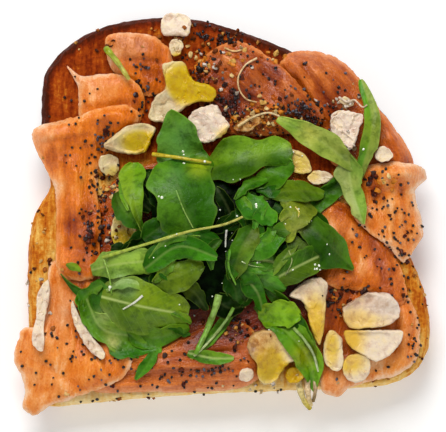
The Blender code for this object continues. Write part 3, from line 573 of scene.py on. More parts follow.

# %% [markdown]
# ## Smoked salmon
# Eleven thin slices lie over each other and over the crust. Cold-smoked salmon is glossy and soft, its
# grain runs along the slice, and thin torn edges are pale. Each slice gets a tone for every corner, from deep
# to pale, out of its own base tone, its folds, its rim and a few soft patches, and a blush, from orange to
# pink, in the same way. One finish reads both, so the slices match as slices from one side of fish do. The
# folds' share of the tone is painted light and shade: ridges are painted paler, and creases and hollows are
# painted darker, a deep orange-red shade.

# %% Salmon: tone, blush and grain of each slice, and its creases
# base tone, blush, grain direction in degrees, patches (x, y, reach, tone, blush)
SLICES = {
    # the centre slice's deep base tone and its darker patch at 3, -30 are painted shade of the heap over it
    "salmon_centre": (0.32, 0.0, 30, (
        (30, 14, 8, 0.1, 0.1), (-31, 2, 9, 0.10, -0.3), (3, -30, 7, -0.10, 0.0),
    )),
    # the darker patch at 31, 31 is painted shade in the seam of a fold
    "salmon_top_right": (0.46, 0.25, -50, (
        (26, 42, 6, 0.05, 0.3), (42, 38, 8, 0.05, 0.1), (50, 18, 8, 0.02, -0.35), (31, 31, 4, -0.12, 0.0),
    )),
    "salmon_top_centre": (0.42, 0.35, -40, (
        (1, 44, 3.4, 0.20, 0.5), (10, 37, 3.0, 0.12, 0.6), (-5, 41, 2.0, 0.16, -0.6),
        (23, 27, 4, -0.24, 0.4), (3.5, 41.5, 2.4, 0.10, -0.6), (2, 32, 3.4, -0.46, 0.0),
        (8, 34, 2.0, -0.2, 0.0), (15, 41, 3, -0.12, -0.1), (14.6, 28, 3.4, 0.26, -0.2),
        (-3, 38, 2.4, -0.24, -0.2), (-7, 38, 2.4, -0.2, 0.0), (18, 36, 2.5, 0.06, 0.4),
    )),
    "salmon_top_upper": (0.64, 0.1, 80, (
        (-26, 49, 4.5, 0.0, 1.5), (-31, 46, 3, 0.14, 0.6), (-20, 40, 5, -0.18, -0.4),
        (-24, 43, 2.5, -0.04, -0.2), (-22, 48, 2.5, -0.06, 0.1),
    )),
    "salmon_top_lower": (0.70, 0.15, 85, (
        (-42, 39, 4, 0.02, 0.4), (-36, 36, 5, 0.06, 0.3), (-25, 31, 5, -0.16, -0.5),
        (-35, 27, 5, -0.06, -0.4),
    )),
    "salmon_right_lower": (0.66, 0.15, 75, (
        (48, -43, 7, 0.20, 0.05), (42.5, -43, 3.4, 0.24, 0.0), (32, -24, 6, -0.30, 0.0),
        (32, -34, 5, -0.18, 0.0), (53, -30, 4, 0.02, 0.1), (33, -49, 5, 0.16, 0.3),
        (50, -48, 5, 0.02, 0.0),
    )),
    "salmon_right_middle": (0.56, 0.1, 70, (
        (29, -5, 4, 0.34, 0.6), (38, -12, 5, 0.10, -0.1), (44.6, -6, 3, -0.16, -0.2),
        (46, -13, 4, -0.14, -0.1), (46, -24, 4, -0.12, 0.1), (39.6, -16, 2.5, 0.12, 0.4),
        (34, 2, 2.6, -0.30, 0.1), (28, 4, 3, 0.28, 0.6), (36, -5, 2.4, 0.2, 0.4),
        (40, -20, 3, 0.12, -0.2),
    )),
    # the dark patches at 43.4, 6.4 and 42.4, 10.4 are painted shade in a hollow, the light one at 46.8, 8.6 a
    # painted highlight on its crest
    "salmon_right": (0.74, 0.15, 95, (
        (54, 11, 5, 0.10, 0.1), (43.4, 6.4, 2.0, -0.55, -0.2), (42.4, 10.4, 1.2, -0.4, -0.2),
        (53, 0, 5, 0.05, 0.1), (46.8, 8.6, 1.4, 0.2, 0.3), (50.4, 7.8, 2.2, -0.16, -0.4),
        (47.0, 3.6, 1.4, 0.1, 0.0), (50, -8, 4, 0.06, 0.2), (42, 0, 3, 0.02, 0.1),
    )),
    # the dark patches at -7, -34 and 3, -33 are the heap's shadow, painted on the slice
    "salmon_bottom": (0.56, 0.35, 0, (
        (-28, -42, 6, 0.10, -0.3), (-7, -34, 7, -0.34, 0.1), (3, -33, 5, -0.38, 0.0),
        (-2, -46, 7, 0.02, 0.3), (-16, -46, 6, 0.0, 0.2),
    )),
    "salmon_left_lower": (0.76, 0.15, 80, (
        (-50, -48, 8, 0.06, 0.1), (-38, -47, 7, -0.04, -0.2), (-46, -28, 5, 0.06, 0.6),
        (-36, -35, 4, -0.14, 0.2), (-43, -20, 4, -0.12, 0.1), (-43.7, -29, 3, -0.10, 0.1),
    )),
    "salmon_left_fold": (0.66, 0.05, 88, (
        (-51, 23, 4, 0.18, 0.5), (-34, 24, 5, -0.04, -0.3), (-48, 16, 3, -0.20, 0.1),
        (-45, 2, 3, 0.02, 0.2), (-39, -2, 4, -0.14, -0.3), (-43, -12, 4, -0.10, 0.0),
        (-30, 26, 4, -0.06, -0.2), (-37.6, 10.4, 3.4, 0.2, -0.2), (-37, -10, 4, -0.18, 0.0),
        (-47, 8, 2.5, 0.12, 0.4), (-34, 6, 3, -0.10, 0.0), (-43.7, -3.1, 3, -0.30, -0.1),
        (-38, -6, 2.6, -0.34, 0.1), (-37.6, 1, 2.2, -0.16, 0.0),
    )),
}
# start, end, rise and half width of each ridge, with a crease where the rise is below nothing
CREASES = {
    "salmon_left_fold": (
        ((-52, 20), (-38, 22.5), -0.5, 0.9), ((-50, 24.5), (-30, 29), 0.5, 1.0),
        ((-46.5, 15), (-45.5, -14), 0.7, 0.9), ((-44.6, 16), (-43.8, -10), -0.5, 0.7),
        ((-41.5, 12), (-40.5, -8), 0.6, 0.9), ((-38.5, 16), (-38.0, -6), -0.4, 0.7),
    ),
    "salmon_left_lower": (
        ((-47, -16), (-45, -34), 0.6, 1.0), ((-50, -36), (-44, -52), 0.5, 1.4),
        ((-40, -20), (-36, -36), -0.5, 0.9), ((-54, -42), (-40, -50), -0.4, 1.1),
        ((-36, -42), (-32, -48), 0.5, 1.0),
    ),
    "salmon_top_lower": (
        ((-41, 30), (-26, 32), -0.4, 0.9), ((-28, 38), (-25.5, 27), 0.6, 0.9),
        ((-38, 37), (-36, 27), 0.3, 1.3),
    ),
    "salmon_top_upper": (((-31, 44.5), (-18, 43.5), -0.6, 0.9), ((-27, 41), (-20, 37), 0.5, 1.0)),
    "salmon_top_centre": (
        ((-3, 46), (3, 40), -0.5, 0.8), ((4, 44), (9, 36), -0.7, 0.9), ((11, 41), (19, 31), -0.8, 0.9),
        ((-4, 38), (2, 33), 0.6, 1.1), ((7, 30), (15, 26), 0.5, 1.1), ((17, 38), (26, 28), 0.6, 0.8),
    ),
    "salmon_top_right": (
        ((19.5, 44), (30, 27), 0.7, 0.8), ((23, 42.5), (33, 28), -0.9, 0.8),
        ((27, 40), (36, 28), 0.5, 0.9), ((46, 26), (51, 14), 0.4, 1.2), ((30, 43), (44, 28), 0.3, 2.0),
    ),
    "salmon_right": (
        ((42, 12), (56, 11), 0.4, 0.9), ((48.5, 9), (47.5, -8), 0.7, 0.8),
        ((43, 9), (43.5, 4), -0.4, 1.2), ((51, 8), (53, -9), -0.5, 0.8), ((54, 7), (56, -6), 0.4, 0.9),
    ),
    "salmon_right_middle": (
        ((31, 1), (30, -12), 0.5, 1.0), ((36, -2), (40, -16), 0.6, 1.0), ((41, -3), (46, -20), -0.5, 1.0),
        ((33.5, -2), (35, -16), -0.5, 0.8), ((46, -12), (50, -24), 0.5, 0.9),
    ),
    "salmon_right_lower": (
        ((51, -26), (52, -44), 0.5, 1.0), ((49, -24), (49, -40), -0.5, 0.8), ((30, -22), (31, -36), -0.5, 1.2),
    ),
    "salmon_bottom": (
        ((-32, -42), (-12, -38), 0.5, 1.0), ((-30, -46), (2, -44.5), -0.6, 0.9),
        ((-20, -41), (4, -39), -0.5, 0.8), ((-34, -49), (-4, -49), 0.4, 0.9),
    ),
    "salmon_centre": (),
}

# %% Salmon: finish
salmon_finish, tree, shader = new_finish("smoked_salmon")
lie = by_name(tree, "lie", "Vector")
drawn_out = add_node(tree, "ShaderNodeMapping", {"Vector": lie, "Scale": (0.12, 0.85, 0.85)}).outputs[0]
fibres = speckle(tree, drawn_out, 1.0, 4, 0.6)
blotches = speckle(tree, lie, 0.28, 3, 0.55)
flecks = speckle(tree, lie, 1.7, 3, 0.6)
tone = noisy(tree, by_name(tree, "tone"), fibres, 0.44, -0.235)
tone = noisy(tree, tone, blotches, 0.36, -0.19)
tone = noisy(tree, tone, flecks, 0.34, -0.18)
orange = ramp(
    tree, tone,
    (0.0, (66, 14, 2)), (0.22, (124, 38, 2)), (0.45, (180, 80, 2)),
    (0.66, (224, 114, 8)), (0.84, (242, 148, 52)), (1.0, (250, 190, 130)),
)
pink = ramp(
    tree, tone,
    (0.0, (70, 22, 8)), (0.22, (122, 48, 16)), (0.45, (172, 86, 34)),
    (0.66, (214, 128, 66)), (0.84, (234, 168, 118)), (1.0, (244, 204, 170)),
)
blush = noisy(tree, by_name(tree, "blush"), blotches, 0.7, -0.35)
tree.links.new(blend(tree, sums(tree, "MAXIMUM", blush, 0.0), orange, pink), shader.inputs["Base Color"])
polish(tree, shader, flecks, (0.3, 66), (0.75, 120), 0.3)
shader.inputs["Coat Weight"].default_value = 0.12
shader.inputs["Coat Roughness"].default_value = 0.2
relief(tree, shader, sums(tree, "ADD", fibres, sums(tree, "MULTIPLY", flecks, 0.5)), 0.5)


# %% Salmon: shape of each slice
# rounds of subdivision; lengths in millimetres, and the rim's thickness as a share
SALMON_ROUNDS = 3
RIM_ROLL = 2.6
THIN_EDGE = 0.2
LEAST_RISE = 0.3
SALMON_BULGE = 0.12
seed_places = []


def ridges(plan, strokes):
    """The height that ridges and creases add."""
    rise = np.zeros(len(plan))
    for start, end, height, width in strokes:
        away = depth_from(plan, np.array([start], float), np.array([end], float))
        rise += height * np.exp(-((away / width) ** 2))
    return rise


def lay_salmon(node):
    """One slice with its folds, creases and soft torn rim."""
    base, blush, grain, patches = SLICES[node]
    points, faces, seeds = two_sheets(node)
    seed_places.extend(seeds)
    for _ in range(SALMON_ROUNDS):
        points, faces = butterfly(points, faces)
    edge = rim_edges(faces)
    ring = np.unique(edge)
    ragged = wander(points[ring, :2], 3.1, 3.0) * 0.35 + wander(points[ring, :2], 0.8, 8.0) * 0.22
    centre = points[:, :2].mean(0)
    outward = points[ring, :2] - centre
    outward /= np.linalg.norm(outward, axis=1)[:, None]
    points[ring, :2] += outward * np.clip(ragged, -0.7, 0.15)[:, None]
    plan = points[:, :2]
    depth = depth_from(plan, plan[edge[:, 0]], plan[edge[:, 1]])
    rolled = np.sqrt(1 - (1 - np.clip(depth / RIM_ROLL, 0, 1)) ** 2)
    creases = ridges(plan, CREASES[node])
    waves = wander(plan, 2.4, 1.0, grain, 4.0) * 0.30 + wander(plan, 7.0, 6.0) * 0.35
    waves += wander(plan, 0.9, 4.0, grain, 3.0) * 0.10
    thick = points[:, 3] - points[:, 2]
    if node == "salmon_centre":
        rolled = smoothstep(depth / 5)
    rise = thick * (THIN_EDGE + 0.8 * rolled) + (creases + waves) * (0.25 + 0.75 * rolled)
    top = np.column_stack([plan, points[:, 2] + np.maximum(rise, LEAST_RISE)])
    corners, sides = shell(top, points[:, :3], faces, SALMON_BULGE)
    mesh = mesh_from(node + "_fine", corners, sides)
    # the creases and waves in the tone are painted light and shade: higher places painted paler, creases
    # darker
    tone = base + 0.22 * (1 - smoothstep(depth / 1.6)) * (base > 0.3) + 0.16 * creases + 0.10 * waves
    flush = np.full(len(plan), blush) + 0.35 * (1 - smoothstep(depth / 2.0))
    for x, y, reach, lighter, pinker in patches:
        near = np.exp(-((plan - (x, y)) ** 2).sum(1) / reach**2)
        tone = tone + lighter * near
        flush = flush + pinker * near
    c, s = math.cos(math.radians(grain)), math.sin(math.radians(grain))
    lie = np.column_stack([
        corners[:, 0] * c + corners[:, 1] * s, corners[:, 1] * c - corners[:, 0] * s, corners[:, 2]
    ])
    write_values(mesh, "tone", np.concatenate([tone, tone, tone[ring]]))
    write_values(mesh, "blush", np.concatenate([flush, flush, flush[ring]]))
    write_values(mesh, "lie", lie)
    set_down(node.replace("salmon", "slice"), mesh, salmon_finish, "salmon", node)
    return len(sides)


for node in SLICES:
    print(node, lay_salmon(node), "faces")

# %% [markdown]
# ## Cheese and cream
# The cheese was broken by hand: crumbly lavender-white lumps, smooth cream wedges with yellow, oily
# hearts, and thin smears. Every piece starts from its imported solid, made finer. Broken faces come from cell
# noise, where each cell is a small tilted face. A yellow heart is a soft spot with its own centre and
# reach, painted on the mesh as one number.

# %% Cheese: finish of each piece
# roughness in millimetres, coolness, and yellow hearts (x, y, reach along X, reach along Y, strength)
PIECES = {
    "cheese_yellow_chunk": (0.45, 0.2, ((-9, 37, 9, 6, 1.3), (-4, 34, 4, 3, 0.9), (-17, 31, 3, 7, -0.6))),
    "cheese_left_wedge": (0.2, 0.15, ((-23.4, 20.4, 5.6, 3.3, 1.1),)),
    "cheese_crumbly": (0.8, 1.0, ()),
    "cheese_tall_wedge": (0.22, 0.65, ((26.0, -31, 4.5, 9, 0.6),)),
    "cheese_dome": (0.18, 0.9, ((37, -31, 9, 4, 0.4), (47, -24, 6, 4, -0.4))),
    "cheese_quarter": (0.16, 0.85, ((34, -35, 7, 8, 0.62),)),
    "cheese_round_piece": (0.3, 0.3, (
        (13.0, -43, 5.0, 5.4, 0.9), (18, -44, 2, 2, 0.6), (12, -37, 6, 4, 0.2),
    )),
    "cheese_left_curl": (0.55, 0.8, ()),
    "cheese_top_flake": (0.35, 0.9, ()),
    "cheese_top_crumb": (0.4, 0.45, ((-12, 44.5, 3, 2, 0.7),)),
    "cheese_white_chunk": (0.5, 1.0, ((1, 22, 3, 3, 0.5),)),
    "cheese_left_flake": (0.25, 0.2, ((-31, 11, 3, 3, 0.35),)),
    "cheese_left_slab": (0.4, 0.1, ((-28, -8, 5, 4, 0.9), (-28, 0, 4, 4, 0.4))),
    "cheese_cube": (0.3, 0.75, ()),
    "cheese_bar": (0.25, 0.5, ((25, 11, 3, 2, 0.3),)),
    "cheese_right_flake": (0.3, 0.1, ((21, 14, 5, 4, 0.4),)),
    "cheese_pale_strip": (0.3, 0.5, ((31, -38, 2.2, 6, 0.5),)),
    "cheese_low_piece": (0.3, 0.7, ((36, -42, 5, 4, 0.5),)),
    "cheese_white_bit": (0.3, 0.8, ()),
    "cheese_golden_bit": (0.3, 0.5, ((20.4, -46, 4, 4, 1.2),)),
    "cheese_scrap": (0.6, 0.0, ((8, 26, 6, 3, 0.7),)),
    "cheese_small_bit": (0.3, 0.3, ()),
    "cream_smear_left": (0.55, 0.9, ()),
}

cheese_finish, tree, shader = new_finish("broken_cheese")
where = place_of(tree)
curds = speckle(tree, where, 420, 5, 0.6)
fine_curds = speckle(tree, where, 1500, 3, 0.6)
yellow = noisy(tree, by_name(tree, "yellow"), curds, 0.5, -0.25)
warm = ramp(
    tree, yellow,
    (0.0, (216, 196, 146)), (0.28, (222, 196, 108)), (0.6, (210, 182, 40)), (1.0, (198, 168, 6)),
)
cool = ramp(
    tree, yellow,
    (0.0, (234, 216, 200)), (0.28, (240, 212, 150)), (0.6, (228, 182, 74)), (1.0, (212, 158, 20)),
)
golden = ramp(tree, curds, (0.3, (124, 62, 18)), (0.5, (182, 124, 56)), (0.7, (222, 182, 122)))
shade = blend(tree, by_name(tree, "cool"), warm, cool)
# the browned colour also carries painted shade, at the dome's lower right
shade = blend(tree, by_name(tree, "fried"), shade, golden)
stains = ramp(tree, curds, (0.3, (218, 190, 162)), (0.52, (255, 255, 255)))
tree.links.new(blend(tree, 0.8, shade, stains, "MULTIPLY"), shader.inputs["Base Color"])
polish(tree, shader, curds, (0.3, 92), (0.7, 150), 0.25)
shader.inputs["Subsurface Weight"].default_value = 0.12
shader.inputs["Subsurface Radius"].default_value = (0.9, 0.7, 0.35)
shader.inputs["Subsurface Scale"].default_value = 0.001
relief(tree, shader, sums(tree, "ADD", curds, sums(tree, "MULTIPLY", fine_curds, 0.4)), 0.35)


# %% Cheese: shape of each piece
CHEESE_ROUNDS = 3
# how far an edge stands up, how flat a top is, and the sharpest angle that still looks smooth, in degrees
CRISP = 0.12
FLAT_TOPPED = 2.6
SMOOTH_UP_TO = 28
# shares by which two pieces grow, and a shift in millimetres, so that they lie close to the quarter
STRIP_WIDER = 0.45
LOW_PIECE_LONGER = 0.28
LOW_PIECE_SHIFT = 0.5
# how round each outline becomes; the others keep their straight broken edges
ROUND = {
    "cheese_dome": 0.25, "cheese_round_piece": 0.6, "cheese_yellow_chunk": 0.15, "cream_smear_left": 0.3,
}


def broken_faces(points, size, seed):
    """Cell noise: small tilted faces with edges between them, from about -1 to 1."""
    found = np.empty(len(points))
    for k, (x, y, z) in enumerate(points / size):
        cell = noise.voronoi(Vector((x, y, z + seed)))[1][0]
        tilt = noise.noise(cell * 7.3) * (x - cell.x) + noise.noise(cell * 5.1) * (y - cell.y)
        found[k] = 1.6 * tilt + 0.9 * noise.noise(cell * 3.7)
    return found


# lines along which a corner broke off, by two plan points each
CHIPS = {
    "cheese_dome": (((42.4, -21.6), (34.0, -26.8)), ((34.0, -29.0), (36.4, -33.2))),
    "cheese_quarter": (((48.4, -32.4), (44.0, -31.4)),),
    "cheese_top_flake": (((-17.2, 50.4), (-16.4, 46.0)), ((-9.6, 46.4), (-8.0, 50.4))),
    "cheese_white_chunk": (((4.4, 28.4), (-2.4, 31.0)), ((0.4, 21.0), (6.0, 24.4))),
    "cheese_cube": (((47.6, 22.6), (44.0, 23.4)),),
}
# x, y, reach and strength of browned spots; on the dome they are darker spots, and the one at its lower right
# is painted shade
BROWNED_AND_SHADED = {
    "cheese_round_piece": ((9.6, -36.4, 5.0, 0.8), (12.0, -33.0, 4.0, 0.4)),
    # on the dome: two darker spots, and painted shade at its lower right
    "cheese_dome": ((36.6, -26.0, 4.0, 0.4), (41.0, -23.4, 4.0, 0.3), (47.0, -31.0, 3.0, 0.25)),
    "cheese_yellow_chunk": ((-15.0, 29.0, 3.0, 0.2), (6.0, 33.0, 3.0, 0.25)),
    "cheese_tall_wedge": ((22.6, -21.6, 3.0, 0.25),),
    "cheese_left_wedge": ((-33.0, 19.0, 3.0, 0.25),),
    "cheese_left_slab": ((-29.0, 4.0, 4.0, 0.3),),
    "cheese_scrap": ((8.0, 26.0, 30.0, 1.0),),
}


def break_cheese(node):
    """One broken piece of cheese, or a smear."""
    rough, cool, hearts = PIECES[node]
    points, faces, _ = two_sheets(node)
    for _ in range(CHEESE_ROUNDS):
        points, faces = butterfly(points, faces, ROUND.get(node, 0.0))
    if node == "cheese_pale_strip":
        points[:, 0] += STRIP_WIDER * (points[:, 0] - points[:, 0].mean())
    if node == "cheese_low_piece":
        points[:, 1] += LOW_PIECE_LONGER * (points[:, 1] - points[:, 1].min())
        points[:, 0] -= LOW_PIECE_SHIFT
    thick = points[:, 3] - points[:, 2]
    share = np.clip(thick / thick.max(), 0, 1)
    points[:, 3] = points[:, 2] + thick.max() * (1 - (1 - share) ** FLAT_TOPPED)
    middle = points[:, :2].mean(0)
    for (ax, ay), (bx, by) in CHIPS.get(node, ()):
        outward = np.array([ay - by, bx - ax]) / math.hypot(bx - ax, by - ay)
        outward *= -np.sign((middle - (ax, ay)) @ outward)
        lost = np.maximum((points[:, :2] - (ax, ay)) @ outward, 0)
        points[:, :2] -= 0.9 * lost[:, None] * outward
    edge = rim_edges(faces)
    ring = np.unique(edge)
    outward = points[ring, :2] - points[:, :2].mean(0)
    outward /= np.linalg.norm(outward, axis=1)[:, None]
    crumbled = wander(points[ring, :2], 1.1, len(node)) * (0.12 + 0.35 * rough)
    points[ring, :2] += outward * np.clip(crumbled, -0.5, 0.15)[:, None]
    plan = points[:, :2]
    depth = depth_from(plan, plan[edge[:, 0]], plan[edge[:, 1]])
    crisp = (points[:, 3] - points[:, 2]) * CRISP * (1 - smoothstep(depth / 1.6))
    points[:, 3] += crisp * smoothstep(depth / 0.5 + 0.4)
    chipped = broken_faces(points[:, [0, 1, 3]], 2.8, len(node)) * (rough + 0.15)
    chipped += broken_faces(points[:, [0, 1, 3]], 0.9, 2 * len(node)) * rough * 0.4
    top = np.column_stack([plan, points[:, 3] + chipped * smoothstep(depth / 0.8 + 0.3)])
    top[:, 2] = np.maximum(top[:, 2], points[:, 2] + 0.4)
    corners, sides = shell(top, points[:, :3], faces, 0.1)
    mesh = mesh_from(node + "_fine", corners, sides)
    mesh.set_sharp_from_angle(angle=math.radians(SMOOTH_UP_TO))
    yellow = np.zeros(len(corners))
    for x, y, wide, high, strength in hearts:
        away = ((corners[:, 0] - x) / wide) ** 2 + ((corners[:, 1] - y) / high) ** 2
        yellow += strength * (1 - smoothstep((np.sqrt(away) - 0.35) / 0.95))
    write_values(mesh, "yellow", yellow + 0.04)
    fried = np.zeros(len(corners))
    for x, y, reach, strength in BROWNED_AND_SHADED.get(node, ()):
        fried += strength * np.exp(-((corners[:, :2] - (x, y)) ** 2).sum(1) / reach**2)
    write_values(mesh, "fried", fried)
    write_values(mesh, "cool", np.full(len(corners), cool))
    slot = "cream" if node.startswith("cream") else "cheese"
    set_down(node.replace("cheese", "broken").replace("cream", "spread"), mesh, cheese_finish, slot, node)
    return len(sides)


for node in PIECES:
    break_cheese(node)
print(len(PIECES), "pieces of cheese and cream")

# %% [markdown]
# ## The ground under the rocket
# The heap lies on whatever is there: salmon, cheese and toast. A height map of it all, looked up with rays
# from straight above, tells each leaf how high it must lie. The heap's own core is a low dome on that map,
# so a second map adds the dome, and a softened copy of it carries the leaves.

# %% Heights under the heap
# half the map's side, and a skirt's fall and reach, in millimetres; the height of the rays' start in metres
MAP_HALF = 66
SKIRT = 0.35
SKIRT_REACH = 14
RAY_START = 0.2
DOWN = Vector((0, 0, -1))
scene = bpy.context.scene
line = range(-MAP_HALF, MAP_HALF + 1)
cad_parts["rocket_heap"].hide_viewport = True
bpy.context.view_layer.update()


def look_down(x, y):
    """What a ray from straight above meets: its name, the place in millimetres and the way it faces."""
    start = Vector((x * MM, y * MM, RAY_START))
    hit, place, facing, _, piece, _ = scene.ray_cast(bpy.context.evaluated_depsgraph_get(), start, DOWN)
    if not hit or piece.name == "table_top":
        return None, None, None
    return piece.name, np.array(place) / MM, facing


def look_over():
    """The height of the topmost thing over each square millimetre; below nothing where there is none."""
    graph = bpy.context.evaluated_depsgraph_get()
    found = np.full((len(line), len(line)), -1.0)
    for i, x in enumerate(line):
        for j, y in enumerate(line):
            hit, place, _, _, piece, _ = scene.ray_cast(graph, Vector((x * MM, y * MM, RAY_START)), DOWN)
            if hit and piece.name != "table_top":
                found[i, j] = place.z / MM
    return found


class HeightMap:
    """Heights in millimetres, one for each square millimetre of the table."""

    def __init__(self, heights):
        self.heights = heights

    def at(self, plan):
        """The height at each plan point, read between the squares."""
        spot = np.clip(np.asarray(plan) + MAP_HALF, 0, 2 * MAP_HALF - 0.001)
        i, j = spot[:, 0].astype(int), spot[:, 1].astype(int)
        u, v = spot[:, 0] - i, spot[:, 1] - j
        h = self.heights
        return (
            h[i, j] * (1 - u) * (1 - v) + h[i + 1, j] * u * (1 - v)
            + h[i, j + 1] * (1 - u) * v + h[i + 1, j + 1] * u * v
        )

    def softened(self, passes):
        """A copy with its steps smoothed."""
        soft = self.heights
        for _ in range(passes):
            for axis in (0, 1):
                soft = (np.roll(soft, 1, axis) + np.roll(soft, -1, axis) + 2 * soft) / 4
        return HeightMap(soft)

    def widened(self):
        """A copy in which every step reaches one square further."""
        wide = self.heights
        for axis in (0, 1):
            wide = np.maximum(wide, np.maximum(np.roll(wide, 1, axis), np.roll(wide, -1, axis)))
        return HeightMap(wide)


heights = look_over()
for _ in range(SKIRT_REACH):
    near = HeightMap(heights).widened().heights - SKIRT
    heights = np.where((heights < 0) & (near > 0), near, heights)
ground = HeightMap(np.maximum(heights, 0))
print("highest food under the heap:", round(float(heights.max()), 1), "mm")

# %% Dome of the heap
# the dome's rise, how far inside its edge it is at its full height, and its thickness at the edge
HEAP_RISE = 8.0
HEAP_RUN = 17.0
HEAP_RIM = 1.0
# the heap's edge in plan
HEAP_EDGE = (
    (-32.3, 6.9), (-20.9, 14.0), (-2.3, 14.0), (19.1, 8.3), (30.6, -1.7), (32.0, -14.6), (22.0, -22.6),
    (9.1, -25.4), (-2.3, -30.1), (-18.0, -34.0), (-32.3, -32.1), (-37.4, -24.6), (-35.1, -11.7),
)


def round_off(points, steps, closed=False):
    """Points on a smooth curve through the given ones, evenly spread."""
    points = np.array(points, float)
    if closed:
        padded = np.vstack([points[-1:], points, points[:2]])
    else:
        padded = np.vstack([2 * points[0] - points[1], points, 2 * points[-1] - points[-2]])
    t = np.linspace(0, 1, 16, endpoint=False)[:, None]
    fine = [
        0.5 * (2 * b + (c - a) * t + (2 * a - 5 * b + 4 * c - d) * t**2 + (3 * b - a - 3 * c + d) * t**3)
        for a, b, c, d in zip(padded, padded[1:], padded[2:], padded[3:])
    ]
    fine = np.vstack(fine + [padded[-2:-1]])
    walked = np.concatenate([[0], np.cumsum(np.linalg.norm(np.diff(fine[:, :2], axis=0), axis=1))])
    wanted = np.linspace(0, walked[-1], steps + 1)
    return np.column_stack([np.interp(wanted, walked, fine[:, k]) for k in range(fine.shape[1])])


heap_ring = round_off(HEAP_EDGE, 120, closed=True)


def depth_in_heap(plan):
    """How far inside the heap's edge each plan point lies; outside it is below nothing."""
    start, end = heap_ring[:-1], heap_ring[1:]
    depth = depth_from(plan, start, end)
    x, y = plan[:, :1], plan[:, 1:2]
    crosses = (start[:, 1] > y) != (end[:, 1] > y)
    rise = np.where(np.abs(end[:, 1] - start[:, 1]) < 1e-9, 1e-9, end[:, 1] - start[:, 1])
    at = start[:, 0] + (y - start[:, 1]) * (end[:, 0] - start[:, 0]) / rise
    inside = (crosses & (x < at)).sum(1) % 2 == 1
    return np.where(inside, depth, -depth)


def dome(plan):
    """The core's thickness at each plan point."""
    depth = depth_in_heap(plan)
    rise = HEAP_RIM + HEAP_RISE * np.sqrt(1 - (1 - np.clip(depth / HEAP_RUN, 0, 1)) ** 2)
    return np.where(depth > 0, rise, 0)


squares = np.array([(x, y) for x in line for y in line], float)
floor_map = ground.softened(3)
mound = HeightMap(floor_map.heights + dome(squares).reshape(ground.heights.shape))
bed = mound.softened(6)
clear = ground.widened()
print("top of the dome:", round(float(mound.heights.max()), 1), "mm")
